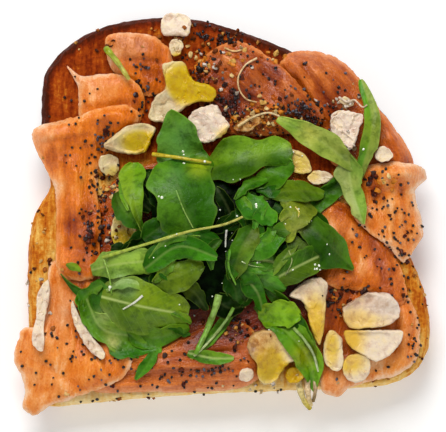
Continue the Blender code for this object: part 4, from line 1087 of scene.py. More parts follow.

# %% [markdown]
# ## Rocket leaves
# Rocket has long, soft leaves with a pale rib, round lobes and a glossy skin. A leaf could be a picture on
# a card, but its edge and curl are what make a heap look fresh. So each leaf is a grid that follows a
# spine: a width for each row, a cup across it, ripples along its edges and a groove at the rib. Its lower
# skin lies a hair's breadth under the upper one. The two halves have their own greens. That is partly real,
# as one half may turn its paler underside up, and partly painted light: on many leaves the half that faces
# the window is painted lighter and the other half is painted in shade.

# %% Leaves: spines with lift over the bed, half width, lobes, cup, widest place, bluntness, two greens
LEAVES = {
    "under_stem": (((-22.4, -7.4, 0.6), (-18.0, -4.0, 1.0), (-11.0, 0.4, -1.2)), 3.6,
        0, 0.5, 0.5, 0.6, (40, 92, 6), (30, 78, 4)),
    "left_dark": (((-30.6, 6.0, 0.6), (-28.6, 1.7, 1.2), (-22.7, -4.3, -1.2)), 2.8,
        0, 0.5, 0.5, 0.6, (64, 120, 12), (50, 100, 8)),
    "upright": (((-8.6, 8.0, -1.5), (-11.8, 19.5, 3.2), (-15.2, 29.2, 4.5)), 6.9,
        0, -0.8, 0.34, 0.6, (98, 146, 48), (92, 142, 44)),
    "upright_side": (((-5.0, 8.5, -1.2), (-6.2, 15.0, 2.4), (-9.5, 20.5, 2.2)), 3.4,
        0, -0.5, 0.4, 0.6, (56, 124, 14), (44, 108, 8)),
    "right_lobe": (((7.6, 7.0, -1.2), (15.3, 11.7, 2.5), (20.1, 14.2, 2.5)), 3.8,
        0, 0.6, 0.6, 0.5, (82, 136, 16), (66, 118, 10)),
    "broad_right": (((-7.2, 11.2, -1.0), (4.3, 15.4, 5.0), (19.6, 18.8, 3.5)), 6.9,
        1, -1.6, 0.5, 0.42, (116, 158, 30), (62, 104, 6)),
    "left_light": (((-22.9, -5.1, -1.2), (-25.0, 4.6, 3.5), (-25.4, 14.6, 3.5)), 3.9,
        0, 0.6, 0.8, 0.45, (122, 158, 30), (104, 150, 22)),
    "broad_middle": (((-8.2, -6.1, 1.6), (-11.8, 5.1, 3.8), (-15.2, 15.4, 3.6)), 9.4,
        0, -1.4, 0.5, 0.26, (84, 134, 22), (48, 104, 4)),
    # near-black greens here are painted shade in the heap's depths
    "middle_back": (((3.0, -2.5, -0.9), (1.0, 2.5, -0.2), (-2.0, 7.5, -0.4)), 2.2,
        0, 0.4, 0.5, 0.6, (8, 26, 3), (5, 18, 2)),
    "long_pale": (((38.6, 12.4, 2.4), (26.9, 21.3, 4.0), (15.4, 27.0, 3.6)), 3.2,
        0, 0.6, 0.5, 0.45, (156, 176, 78), (176, 190, 100)),
    "upright_blade": (((38.6, 9.6, 2.2), (42.3, 25.4, 3.6), (39.4, 38.4, 3.0)), 2.4,
        0, 0.8, 0.5, 0.5, (92, 152, 20), (150, 166, 84)),
    "right_link": (((38.6, 12.6, -0.4), (34.4, 9.2, 1.0), (22.4, -1.3, -1.8)), 3.0,
        0, 0.6, 0.5, 0.6, (72, 124, 22), (60, 110, 16)),
    "right_hanging": (((35.6, 16.6, 2.2), (36.6, 7.9, 3.0), (39.8, -3.0, 2.0)), 3.7,
        1, 0.6, 0.4, 0.6, (142, 176, 76), (164, 176, 112)),
    "right_dark": (((17.0, 3.2, -0.6), (26.6, -5.4, 2.4), (37.2, -15.6, 1.6)), 6.2,
        1, -0.8, 0.55, 0.75, (74, 118, 18), (48, 92, 8)),
    "right_low": (((10.4, -21.0, -1.2), (20.0, -15.4, 2.4), (30.4, -10.4, 1.6)), 4.6,
        0, -0.6, 0.5, 0.5, (66, 112, 8), (82, 112, 12)),
    "right_shade": (((19.0, -6.0, -0.4), (22.0, -11.0, 1.4), (27.5, -15.5, 0.8)), 3.6,
        0, 0.4, 0.5, 0.6, (88, 112, 14), (70, 98, 10)),
    "small_olive": (((10.6, 5.2, -0.6), (20.9, 6.6, 3.0), (28.8, 5.6, 2.5)), 2.9,
        0, 0.6, 0.55, 0.36, (92, 120, 16), (78, 110, 12)),
    "olive_fan": (((24.4, 3.4, 2.0), (20.6, -0.8, 3.8), (17.4, -7.6, 1.0)), 4.9,
        1, -0.6, 0.36, 0.5, (136, 150, 40), (122, 136, 24)),
    "middle_curl": (((4.0, 5.8, -0.4), (9.8, 1.6, 3.0), (14.3, -2.8, 1.6)), 4.4,
        1, 1.0, 0.5, 0.5, (72, 138, 22), (52, 116, 10)),
    "middle_dark": (((4.0, 2.0, -0.6), (8.0, -3.0, 1.4), (11.0, -7.5, 0.2)), 3.0,
        0, 0.5, 0.5, 0.6, (48, 104, 10), (38, 90, 6)),
    "upright_olive": (((8.9, -3.4, 1.5), (5.2, -9.7, 3.4), (2.3, -19.0, -0.4)), 3.9,
        0, 0.6, 0.5, 0.5, (98, 122, 20), (64, 112, 8)),
    "middle_small": (((2.6, -11.4, 0.8), (9.6, -9.6, 3.0), (17.4, -6.0, 1.0)), 3.4,
        0, -0.6, 0.4, 0.5, (84, 146, 18), (62, 124, 10)),
    "middle_low": (((1.4, -14.2, -0.6), (9.0, -17.3, 2.4), (17.8, -21.4, 1.0)), 3.9,
        1, -0.6, 0.5, 0.5, (66, 132, 14), (52, 112, 8)),
    "middle_fringe": (((16.0, -14.0, 0.4), (11.0, -13.2, 1.8), (4.4, -14.6, 0.8)), 2.6,
        0, 0.5, 0.5, 0.5, (58, 112, 10), (78, 128, 18)),
    "under_arch": (((-20.1, -20.1, 1.6), (-12.3, -17.3, 2.8), (-5.4, -14.4, 0.8)), 4.0,
        0, -0.5, 0.5, 0.5, (110, 134, 12), (92, 118, 8)),
    "left_upper": (((-37.4, -16.0, 1.8), (-29.9, -14.2, 3.4), (-18.3, -13.0, 1.4)), 5.0,
        1, -0.8, 0.42, 0.45, (146, 180, 80), (132, 168, 56)),
    "arch": (((-22.0, -15.4, 2.4), (-12.4, -9.2, 4.6), (-1.6, -12.2, 2.2)), 3.9,
        0, -0.9, 0.5, 0.5, (44, 104, 6), (66, 136, 12)),
    "arch_back": (((-19.0, -9.0, -0.4), (-10.0, -5.8, 1.8), (-1.0, -7.5, 0.4)), 3.2,
        0, 0.5, 0.5, 0.5, (42, 104, 8), (36, 92, 6)),
    "lower_left": (((-39.0, -24.0, 1.4), (-33.4, -33.2, 2.2), (-18.9, -34.9, 0.2)), 5.0,
        1, -0.6, 0.45, 0.5, (112, 160, 34), (96, 148, 20)),
    "left_deep": (((-36.4, -19.0, 0.8), (-33.4, -24.4, 1.4), (-24.0, -29.0, 0.2)), 4.0,
        0, 0.5, 0.5, 0.5, (64, 124, 12), (52, 108, 8)),
    "broad_olive": (((-34.4, -23.4, 2.2), (-22.3, -26.2, 4.4), (-9.8, -28.6, 0.6)), 7.4,
        0, -1.2, 0.5, 0.34, (120, 146, 10), (98, 132, 10)),
    "lower_lobe": (((-29.3, -31.4, 1.2), (-20.4, -35.2, 2.6), (-9.6, -32.4, 0.6)), 3.4,
        1, -0.4, 0.5, 0.5, (96, 140, 14), (76, 124, 8)),
    "lower_edge": (((-32.3, -38.8, 0.8), (-26.0, -38.4, 1.6), (-15.7, -35.5, -0.2)), 3.2,
        1, -0.4, 0.5, 0.5, (92, 150, 24), (62, 132, 12)),
    "tail": (((-17.8, -35.0, -0.6), (-21.0, -42.0, 1.2), (-24.9, -47.3, 0.8)), 1.6,
        0, 0.4, 0.55, 0.6, (72, 136, 16), (56, 114, 10)),
    "stem_leaf": (((-10.0, -39.4, 0.9), (-3.7, -40.9, 1.2), (3.1, -41.1, 0.8)), 2.1,
        0, 0.4, 0.5, 0.6, (116, 158, 34), (92, 146, 22)),
    # near-black greens here are painted shade in the heap's depths
    "dark_dip": (((-3.6, -22.6, -1.2), (1.4, -26.6, 1.0), (6.0, -26.3, 0.6)), 3.2,
        0, 0.5, 0.5, 0.5, (16, 40, 4), (10, 28, 2)),
    "green_curl": (((4.0, -15.9, -1.2), (9.4, -21.7, 2.0), (11.5, -27.9, 1.6)), 3.4,
        1, 0.8, 0.5, 0.5, (60, 126, 22), (48, 110, 14)),
    "right_of_curved": (((11.5, -20.5, -1.2), (19.9, -28.5, 3.6), (26.2, -40.4, 3.0)), 2.2,
        0, 0.5, 0.5, 0.6, (48, 98, 8), (36, 82, 6)),
    "light_round": (((10.0, -28.4, 1.0), (16.2, -28.3, 4.6), (22.0, -29.0, 3.6)), 4.0,
        0, -0.6, 0.5, 0.4, (142, 178, 30), (122, 166, 22)),
    "long_curved": (((9.0, -26.4, -1.2), (18.4, -33.8, 3.4), (24.8, -42.0, 2.4), (26.2, -51.0, 0.4)), 4.0,
        0, -0.8, 0.52, 0.75, (116, 168, 36), (96, 152, 20)),
    "fork_leaf": (((3.6, -25.4, -0.4), (-0.6, -32.0, 0.8), (-7.6, -40.0, 0.5)), 1.9,
        0, 0.4, 0.45, 0.5, (96, 148, 16), (84, 138, 12)),
    "low_sprig_left": (((-34.6, -30.4, 0.6), (-32.6, -35.0, 1.4), (-29.0, -39.6, 0.4)), 2.2,
        1, 0.4, 0.5, 0.5, (132, 172, 60), (96, 146, 20)),
    "low_sprig_middle": (((-23.6, -31.0, 1.4), (-20.6, -35.6, 1.8), (-17.6, -39.4, 0.4)), 2.2,
        1, 0.4, 0.5, 0.5, (92, 142, 14), (66, 122, 8)),
    "low_sprig_right": (((-16.0, -29.6, 1.0), (-12.4, -33.0, 1.4), (-9.4, -34.4, 0.2)), 2.0,
        1, 0.4, 0.5, 0.5, (58, 112, 8), (44, 96, 6)),
    "left_point": (((-34.4, -20.0, 1.6), (-39.0, -23.0, 1.4), (-40.6, -27.6, 0.4)), 2.2,
        1, 0.4, 0.5, 0.6, (92, 144, 22), (72, 128, 14)),
    "low_blade": (((-19.6, -19.4, 1.8), (-16.0, -15.6, 2.6), (-13.4, -13.2, 1.6)), 1.6,
        0, 0.4, 0.5, 0.6, (122, 152, 22), (92, 132, 12)),
    "under_pale": (((20.0, 9.0, 0.6), (15.0, 6.6, 1.4), (9.4, 6.4, 0.2)), 2.0,
        1, 0.4, 0.5, 0.5, (52, 112, 12), (40, 96, 6)),
    "ruffle_one": (((4.6, 5.4, 0.6), (6.8, 2.0, 2.4), (6.2, -2.2, 1.0)), 1.7,
        1, 0.4, 0.5, 0.5, (104, 156, 40), (72, 134, 16)),
    "ruffle_two": (((12.4, 3.0, 1.8), (10.0, -0.6, 2.8), (8.8, -4.4, 1.4)), 1.6,
        1, 0.5, 0.5, 0.5, (88, 150, 44), (60, 124, 14)),
    "ruffle_three": (((14.6, -3.0, 1.0), (12.4, -6.6, 2.4), (8.4, -8.0, 1.4)), 1.8,
        1, 0.4, 0.5, 0.5, (98, 156, 26), (70, 132, 12)),
    "ruffle_four": (((20.6, -8.4, 0.4), (16.6, -13.0, 1.8), (13.4, -17.4, 1.2)), 1.5,
        0, 0.4, 0.5, 0.5, (112, 140, 44), (84, 118, 20)),
    "ruffle_five": (((6.4, -16.8, 0.8), (11.4, -15.8, 2.0), (16.0, -17.4, 1.0)), 1.4,
        1, 0.4, 0.5, 0.5, (104, 158, 56), (76, 138, 24)),
    "dark_blade": (((-0.6, -7.2, 1.6), (-3.6, -10.6, 2.6), (-3.0, -15.8, 0.4)), 1.5,
        0, 0.4, 0.5, 0.5, (66, 112, 14), (40, 88, 6)),
    "arch_edge": (((-20.6, -12.8, 3.0), (-14.6, -7.0, 4.6), (-6.4, -6.6, 2.8)), 1.1,
        0, 0.3, 0.5, 0.5, (118, 160, 60), (86, 140, 28)),
    "olive_edge": (((-33.0, -21.6, 2.6), (-26.8, -19.4, 4.2), (-20.4, -21.4, 2.6)), 1.5,
        1, 0.3, 0.5, 0.5, (166, 194, 132), (132, 168, 60)),
    "frill_one": (((-36.6, -28.4, 1.2), (-32.0, -30.6, 2.6), (-27.4, -30.8, 1.8)), 1.7,
        1, 0.4, 0.5, 0.5, (150, 184, 96), (110, 156, 30)),
    "frill_two": (((-27.4, -33.4, 1.6), (-23.0, -36.8, 2.2), (-17.6, -36.6, 0.8)), 1.8,
        1, 0.4, 0.5, 0.5, (110, 160, 24), (74, 132, 10)),
    "frill_three": (((-15.8, -26.4, 1.6), (-12.0, -28.6, 2.2), (-9.0, -31.0, 0.6)), 1.4,
        1, 0.4, 0.5, 0.5, (118, 156, 24), (84, 132, 10)),
    "frill_four": (((-31.6, -34.6, 0.8), (-28.6, -38.0, 1.4), (-24.0, -41.0, 0.4)), 1.8,
        1, 0.4, 0.5, 0.5, (84, 142, 14), (56, 116, 8)),
    "left_edge_curl": (((-27.6, 13.0, 3.0), (-28.6, 7.6, 3.4), (-26.6, 1.0, 1.8)), 1.3,
        1, 0.4, 0.5, 0.5, (128, 170, 52), (96, 146, 22)),
    "fan_lobe": (((17.0, 3.8, 2.0), (18.6, 1.0, 3.8), (16.0, -1.8, 2.6)), 1.9,
        1, 0.5, 0.5, 0.4, (150, 158, 70), (120, 140, 30)),
    "left_scrap": (((-44.6, -14.4, 0.2), (-42.6, -14.9, 0.5), (-40.4, -16.2, 0.2)), 1.1,
        0, 0.3, 0.5, 0.5, (126, 154, 20), (104, 140, 14)),
    "sprig_top": (((3.4, 4.0, 0.4), (7.6, 8.6, 2.2), (12.6, 9.8, 1.6)), 2.0,
        1, 0.5, 0.6, 0.5, (84, 142, 30), (60, 120, 14)),
    "sprig_low": (((1.4, -10.4, 0.6), (3.4, -13.8, 1.8), (2.6, -18.4, 0.6)), 2.0,
        0, 0.5, 0.5, 0.5, (60, 120, 16), (46, 104, 8)),
    "sprig_right": (((12.0, -7.0, 0.4), (17.0, -4.2, 1.8), (21.4, -4.6, 1.0)), 2.2,
        1, 0.5, 0.5, 0.5, (70, 118, 14), (54, 100, 8)),
    "left_under": (((-21.0, -13.0, 0.4), (-16.0, -16.6, 1.6), (-9.6, -18.4, 0.4)), 2.8,
        1, 0.5, 0.5, 0.5, (56, 116, 12), (40, 96, 6)),
    # near-black greens here are painted shade in the heap's depths
    "dip_leaf": (((-12.6, -19.6, 0.0), (-8.0, -22.4, 1.0), (-4.6, -27.4, 0.2)), 2.4,
        0, 0.6, 0.5, 0.5, (20, 46, 4), (12, 32, 2)),
    "left_tip": (((-46.3, -17.1, 0.8), (-42.6, -21.1, 1.2), (-31.4, -29.0, -0.6)), 1.7,
        0, 0.3, 0.7, 0.6, (60, 120, 14), (48, 104, 10)),
}

# %% Leaves: small dark ones, painted in shade, that close the gaps
# dark places that stay open: x, y and reach
GAPS = (
    (0.7, 4.0, 7.5), (-6.0, -23.0, 7.0), (18.9, -11.0, 4.0), (13.7, -5.0, 3.0), (2.0, -22.0, 4.5),
    (-28, -2, 8.0), (24, -23, 6.0), (28, -19, 7.0),
)
FILLERS = 60
# least depth of a filler's foot and of its tip inside the heap's edge, in millimetres
FOOT_DEPTH = 1.5
TIP_DEPTH = 0.3
draw = random.Random(11)
fillers = {}
while len(fillers) < FILLERS:
    x, y = draw.uniform(-37, 32), draw.uniform(-34, 14)
    depth = depth_in_heap(np.array([[x, y]]))[0]
    if depth < FOOT_DEPTH or any(math.hypot(x - a, y - b) < reach for a, b, reach in GAPS):
        continue
    heading = math.atan2(y + 9, x + 2) + draw.uniform(-1.3, 1.3)
    length = draw.uniform(9, 15)
    tip = np.array([[x + length * math.cos(heading), y + length * math.sin(heading)]])
    if depth_in_heap(tip)[0] < TIP_DEPTH:
        continue
    if any(math.hypot(tip[0, 0] - a, tip[0, 1] - b) < reach for a, b, reach in GAPS):
        continue
    bend = heading + draw.uniform(-0.5, 0.5)
    spine = (
        (x, y, -1.4),
        (x + 0.5 * length * math.cos(bend), y + 0.5 * length * math.sin(bend), draw.uniform(-0.6, 0.3)),
        (float(tip[0, 0]), float(tip[0, 1]), draw.uniform(-0.1, 0.5)),
    )
    light = draw.uniform(0.4, 1.0)
    # their dark green is painted shade, deep inside the heap
    green = (34 * light, 84 * light, 6 * light)
    fillers[f"filler_{len(fillers)}"] = (
        spine, draw.uniform(2.0, 3.4), draw.choice((0, 1)), 0.4, 0.5, 0.6, green, green
    )
print(len(LEAVES), "leaves and", len(fillers), "fillers")


# %% Leaves: shape
# rows and columns of a leaf's grid, and of a small dark one's
LEAF_GRID = (36, 12)
FILLER_GRID = (18, 6)
# thickness, least height over what lies below, half width of the rib's groove, and distance between veins
SKIN = 0.3
LIFT_OFF = 0.35
GROOVE = 0.45
VEIN_STEP = 3.0


def left_of(path):
    """The plan direction to the left of a path at each of its points."""
    ahead = np.gradient(path[:, :2], axis=0)
    ahead /= np.linalg.norm(ahead, axis=1)[:, None]
    return np.column_stack([-ahead[:, 1], ahead[:, 0]])


def torn(t, rng, least, most, count):
    """A line of straight stretches between a few drawn heights, as along a torn edge."""
    knots = np.sort([0.0, 1.0] + [rng.uniform(0.04, 0.96) for _ in range(count)])
    return np.interp(t, knots, [rng.uniform(least, most) for _ in knots])


def grow_leaf(spine, half_width, lobes, cup, widest, blunt, veined, seed, grid):
    """Upper and lower corners in rows, and each one's place on the leaf: along, across, share across."""
    rows, columns = grid
    rng = random.Random(100 + seed)
    path = round_off(spine, rows)
    side = left_of(path)
    t = np.linspace(0, 1, rows + 1)
    across = np.linspace(1, -1, columns + 1)
    edges = [torn(t, rng, 0.80 - 0.14 * lobes, 1.10, 6) for _ in range(2)]
    folds = [torn(t, rng, -0.7, 0.7, 4) * min(1, half_width / 5) for _ in range(2)]
    spread = np.clip(0.03 + 0.96 * t, 0, 1) ** (math.log(0.5) / math.log(widest))
    width = half_width * np.maximum(np.sin(math.pi * spread) ** blunt, 0.05)
    width *= 1 - 0.24 * lobes * (0.5 - 0.5 * np.cos(4 * math.pi * t + 0.4 * seed)) ** 1.5
    plan = np.empty((rows + 1, columns + 1, 2))
    high = np.empty((rows + 1, columns + 1))
    walked = np.concatenate([[0], np.cumsum(np.linalg.norm(np.diff(path[:, :2], axis=0), axis=1))])
    for k, a in enumerate(across):
        # the outline: fine waves, broad ones of its own on each side, and the torn edge
        edge_wave = 1 + 0.07 * np.sin(9 * t + 3 * a + seed) * abs(a)
        edge_wave += 0.05 * np.sin(21 * t + seed) * abs(a)
        edge_wave += 0.12 * abs(a) * np.sin(5 * t + (1.9 if a > 0 else 4.1) * seed)
        edge_wave *= 1 + (edges[a > 0] - 1) * abs(a)
        plan[:, k] = path[:, :2] + side * (a * width * edge_wave)[:, None]
        # the height: a cup, folds, ripples, a tilt with a long wave, the rib's groove and the veins
        high[:, k] = path[:, 2] + cup * abs(a) ** 1.1 * (0.5 + 0.5 * np.sin(5 * t + a))
        high[:, k] += folds[a > 0] * abs(a)
        high[:, k] += 0.5 * a * a * np.sin(8 * t + 4 * a + seed) * min(1, half_width / 4)
        high[:, k] += 0.5 * a * math.sin(2.3 * seed) + 0.35 * np.sin(6 * t + 1.7 * seed)
        high[:, k] -= 0.28 * veined * np.exp(-((a * width / GROOVE) ** 2))
        veins = np.sin(2 * math.pi * (walked - 0.9 * abs(a) * width) / VEIN_STEP)
        high[:, k] += 0.06 * veins * min(1, half_width / 3) * (abs(a) < 0.95)
    flat_plan = plan.reshape(-1, 2)
    z = bed.at(flat_plan) + high.ravel()
    floor_here = clear.at(flat_plan) + LIFT_OFF
    # the leaf settles on what lies below it
    for _ in range(3):
        z = np.maximum(z, floor_here)
        laid = z.reshape(rows + 1, columns + 1)
        laid[1:-1] = (laid[:-2] + 2 * laid[1:-1] + laid[2:]) / 4
        z = laid.ravel()
    z = np.maximum(z, floor_here)
    top = np.column_stack([flat_plan, z]).reshape(rows + 1, columns + 1, 3)
    normal = np.cross(np.gradient(top, axis=1), np.gradient(top, axis=0))
    normal /= np.maximum(np.linalg.norm(normal, axis=2), 1e-9)[..., None]
    normal *= np.where(normal[..., 2:] < 0, -1, 1)
    low = top - normal * SKIN
    marks = np.stack(np.broadcast_arrays(
        walked[:, None], across[None, :] * width[:, None], np.abs(across)[None, :]
    ), axis=2)
    return top.reshape(-1, 3), low.reshape(-1, 3), marks.reshape(-1, 3), np.tile(across, rows + 1)


def grid_faces(rows, columns):
    """The triangles of a grid of corners."""
    found = []
    for r in range(rows):
        for c in range(columns):
            a = r * (columns + 1) + c
            b, e, d = a + 1, a + columns + 1, a + columns + 2
            found += [(a, e, d), (a, d, b)]
    return np.array(found)


# %% Leaves: finish
leaf_finish, tree, shader = new_finish("rocket_leaf")
marks = add_node(tree, "ShaderNodeSeparateXYZ", {"Vector": by_name(tree, "leaf", "Vector")})
along, over = marks.outputs["X"], sums(tree, "ABSOLUTE", marks.outputs["Y"])
rib = sums(tree, "SUBTRACT", 1.0, sums(tree, "DIVIDE", over, 0.55))
rib = sums(tree, "MAXIMUM", rib, 0.0)
slant = sums(tree, "MULTIPLY_ADD", over, -0.9, along)
vein = sums(tree, "PINGPONG", slant, 1.5)
vein = sums(tree, "MAXIMUM", sums(tree, "MULTIPLY_ADD", vein, 4.0, -5.2), 0.0)
where = place_of(tree)
clouds = speckle(tree, where, 190, 3, 0.5)
cells = speckle(tree, where, 1400, 2, 0.5)
green = by_name(tree, "green", "Color")
shades = ramp(tree, clouds, (0.25, (172, 192, 128)), (0.5, (236, 240, 200)), (0.75, (255, 252, 190)))
green = blend(tree, 1.0, green, shades, "MULTIPLY")
patchy = ramp(tree, speckle(tree, where, 420, 3, 0.6), (0.34, (186, 196, 170)), (0.5, (255, 255, 255)))
green = blend(tree, 0.8, green, patchy, "MULTIPLY")
# pale grey-green patches: a painted sheen on the leaves
painted_sheen = ramp(tree, speckle(tree, where, 150, 3, 0.6), (0.56, (0, 0, 0)), (0.76, (80, 80, 80)))
green = blend(tree, painted_sheen, green, paint(150, 184, 118))
veined = by_name(tree, "veined")
for line_on_leaf, strength, pale in ((rib, 0.75, (184, 200, 116)), (vein, 0.2, (150, 182, 84))):
    shown = sums(tree, "MULTIPLY", line_on_leaf, sums(tree, "MULTIPLY", veined, strength))
    green = blend(tree, shown, green, paint(*pale))
lit_edge = sums(tree, "MAXIMUM", sums(tree, "MULTIPLY_ADD", marks.outputs["Z"], 8.0, -7.2), 0.0)
green = blend(tree, sums(tree, "MULTIPLY", lit_edge, 0.16), green, paint(160, 190, 70))
tree.links.new(green, shader.inputs["Base Color"])
# dark leaves mirror less, as they lie in the shade
shine = sums(tree, "MINIMUM", sums(tree, "MULTIPLY", by_name(tree, "green"), 1.5), 0.18)
polish(tree, shader, clouds, (0.3, 150), (0.7, 188), shine)
shader.inputs["Coat Weight"].default_value = 0.03
shader.inputs["Coat Roughness"].default_value = 0.25
blisters = add_node(
    tree, "ShaderNodeTexVoronoi", {"Vector": where, "Scale": 520.0, "Smoothness": 0.8}, feature="SMOOTH_F1"
)
swollen = sums(tree, "MULTIPLY_ADD", blisters.outputs["Distance"], -0.9, cells)
relief(tree, shader, sums(tree, "ADD", swollen, sums(tree, "MULTIPLY", clouds, 0.8)), 0.2)

# %% Leaves: all of them, as one piece
# how clearly a leaf's pale rib shows, where it is not as faint as on the others
FAINT_RIB = 0.06
RIBS = {
    "broad_olive": 1.0, "left_upper": 0.5, "broad_middle": 0.05, "right_low": 0.8, "arch": 0.25,
    "middle_fringe": 0.8, "stem_leaf": 0.8, "long_pale": 0.2, "right_hanging": 0.5, "green_curl": 0.4,
    "lower_left": 0.4, "long_curved": 0.25,
}
# x, y, reach, colour and strength of the places where a leaf shines, yellows or lies in shade
SPOTS = (
    (-28.6, -19.4, 3.6, (160, 190, 136), 0.55), (-13.4, 11.0, 2.6, (98, 146, 84), 0.65),
    (-6.9, 13.4, 2.8, (166, 186, 34), 0.95), (-12.6, 20.4, 4.0, (92, 150, 92), 0.5),
    (-8.4, 5.6, 4.6, (50, 100, 4), 0.8), (23.4, 21.9, 4.2, (200, 198, 106), 0.8),
    (40.6, 24.0, 5.0, (150, 162, 44), 0.6), (-16.6, -3.6, 4.0, (46, 92, 8), 0.5),
    (10.0, 17.4, 3.4, (130, 166, 44), 0.5), (7.4, 12.2, 3.0, (50, 86, 4), 0.75),
    (18.0, 12.8, 3.0, (70, 128, 10), 0.6), (20.0, 25.0, 3.0, (96, 158, 44), 0.6),
    (32.0, 18.0, 4.0, (170, 180, 92), 0.5), (37.0, 9.0, 2.4, (196, 200, 128), 0.5),
    (21.0, -3.4, 2.6, (170, 168, 96), 0.6), (18.4, 1.6, 3.0, (120, 140, 30), 0.5),
    (-10.0, -22.0, 4.0, (122, 142, 8), 0.5), (-23.0, -23.4, 4.0, (124, 150, 24), 0.5),
    (-31.0, -34.0, 2.6, (170, 196, 96), 0.6), (16.4, -28.0, 3.4, (118, 168, 26), 0.6),
    (23.2, -40.4, 3.6, (176, 178, 14), 0.85), (-24.4, 3.0, 3.4, (140, 170, 40), 0.5),
    (8.0, -12.6, 3.0, (100, 158, 50), 0.5), (27.6, -8.0, 4.6, (38, 76, 5), 0.75),
    (-11.0, -11.6, 3.6, (40, 88, 5), 0.7), (12.6, -18.4, 2.6, (110, 160, 60), 0.4),
    (2.6, -21.0, 3.8, (12, 34, 3), 0.85), (-7.6, -20.6, 3.0, (16, 44, 3), 0.4),
    (3.4, -13.8, 2.2, (30, 70, 6), 0.5), (-8.2, -24.4, 2.6, (10, 30, 3), 0.9),
    (-31.2, -36.4, 1.7, (214, 204, 150), 0.9), (-26.4, -21.6, 2.2, (132, 170, 122), 0.6),
    (-34.2, -29.6, 2.2, (176, 194, 128), 0.65), (-33.0, -33.6, 1.8, (120, 120, 50), 0.5),
    (-27.4, -31.6, 2.0, (70, 104, 10), 0.5), (-18.6, -38.0, 2.0, (96, 156, 24), 0.6),
    (25.0, -11.6, 2.0, (16, 40, 4), 0.6),
)
all_points, all_faces, all_marks, all_greens, all_ribs = [], [], [], [], []
count = 0
for seed, (name, (*form, left, right)) in enumerate({**fillers, **LEAVES}.items()):
    veined = RIBS.get(name, FAINT_RIB)
    grid = FILLER_GRID if name in fillers else LEAF_GRID
    leaf_faces = grid_faces(*grid)
    top, low, leaf_marks, across = grow_leaf(*form, veined, seed, grid)
    corners, sides = shell(top, low, leaf_faces, 0.0)
    ring = np.unique(rim_edges(leaf_faces))
    share = smoothstep(0.5 + 2.5 * across)[:, None]
    greens = np.array(paint(*left)) * share + np.array(paint(*right)) * (1 - share)
    greens *= 0.70 + 0.52 * leaf_marks[:, :1] / leaf_marks[:, 0].max()
    if name in LEAVES:
        for x, y, reach, tint, strength in SPOTS:
            near = strength * np.exp(-((top[:, :2] - (x, y)) ** 2).sum(1) / reach**2)[:, None]
            greens = greens * (1 - near) + np.array(paint(*tint)) * near
    all_points.append(corners)
    all_faces += [tuple(k + count for k in face) for face in sides]
    count += len(corners)
    all_marks.append(np.vstack([leaf_marks, leaf_marks, leaf_marks[ring]]))
    all_greens.append(np.vstack([greens, greens, greens[ring]]))
    all_ribs.append(np.full(len(corners), veined))
leaf_mesh = mesh_from("rocket_leaves", np.vstack(all_points), all_faces)
leaf_mesh.set_sharp_from_angle(angle=math.radians(50))
write_values(leaf_mesh, "leaf", np.vstack(all_marks))
write_values(leaf_mesh, "veined", np.concatenate(all_ribs))
greens = np.vstack(all_greens).astype(np.float32)
leaf_mesh.color_attributes.new("green", "FLOAT_COLOR", "POINT").data.foreach_set("color", greens.ravel())
set_down("rocket_leaves", leaf_mesh, leaf_finish, "rocket", "rocket_heap")
print("leaves:", len(leaf_mesh.polygons), "faces")

# %% [markdown]
# ## The heart of the heap
# Between the leaves one looks into the dark, wet heart of the heap. A low dome of crumpled green fills it,
# painted near-black as the heap's deep shade, so that no light comes through from below.

# %% Core of the heap
core_finish, tree, shader = new_finish("deep_green")
hollows = speckle(tree, place_of(tree), 260, 4, 0.6)
# near-black greens: the painted shade of the heap's heart
tree.links.new(ramp(tree, hollows, (0.4, (1, 6, 0)), (0.85, (14, 38, 2))), shader.inputs["Base Color"])
polish(tree, shader, hollows, (0.3, 150), (0.7, 190), 0.03)
relief(tree, shader, hollows, 0.5)

# the grid's step, how far the core stays inside the heap's edge, and a bay at its left, in millimetres
CORE_STEP = 1.1
CORE_INSET = 4.0
BAY = (-30, -3)
BAY_REACH = 9.5
columns = np.arange(-37, 17, CORE_STEP)
core_grid = np.array([(x, y) for x in np.arange(-40, 35, CORE_STEP) for y in columns])
wide = len(columns)
kept = depth_in_heap(core_grid) > CORE_INSET
kept &= np.hypot(core_grid[:, 0] - BAY[0], core_grid[:, 1] - BAY[1]) > BAY_REACH
core_faces = []
for k in range(len(core_grid) - wide - 1):
    if (k + 1) % wide == 0:
        continue
    for trio in ((k, k + wide, k + wide + 1), (k, k + wide + 1, k + 1)):
        if kept[list(trio)].all():
            core_faces.append(trio)
used = np.unique(core_faces)
renumber = {old: new for new, old in enumerate(used)}
core_faces = np.array([[renumber[k] for k in trio] for trio in core_faces])
plan = core_grid[used]
base = floor_map.at(plan)
crumple = wander(plan, 3.0, 12.0) * 0.7
core_top = base + np.maximum(dome(plan) + crumple - 0.9, 0.3)
corners, sides = shell(np.column_stack([plan, core_top]), np.column_stack([plan, base]), core_faces)
set_down("rocket_core", mesh_from("rocket_core", corners, sides), core_finish, "rocket", "rocket_heap")

# %% [markdown]
# ## Stalks and threads
# Thin stalks cross the heap, one loose stalk lies on the toast, and a few thin pale threads lie between the
# slices. Three limp stalk ends hang over the lower crust. Each one is a path that rests on whatever is
# below it, and only the hanging ends have heights of their own. A round section is swept along the path with
# Curve to Mesh, so that every stalk can have its own taper and still share one recipe.

# %% Stalks: heights of all that lies there now
bpy.context.view_layer.update()
seen = HeightMap(np.maximum(look_over(), 0)).widened().softened(2)

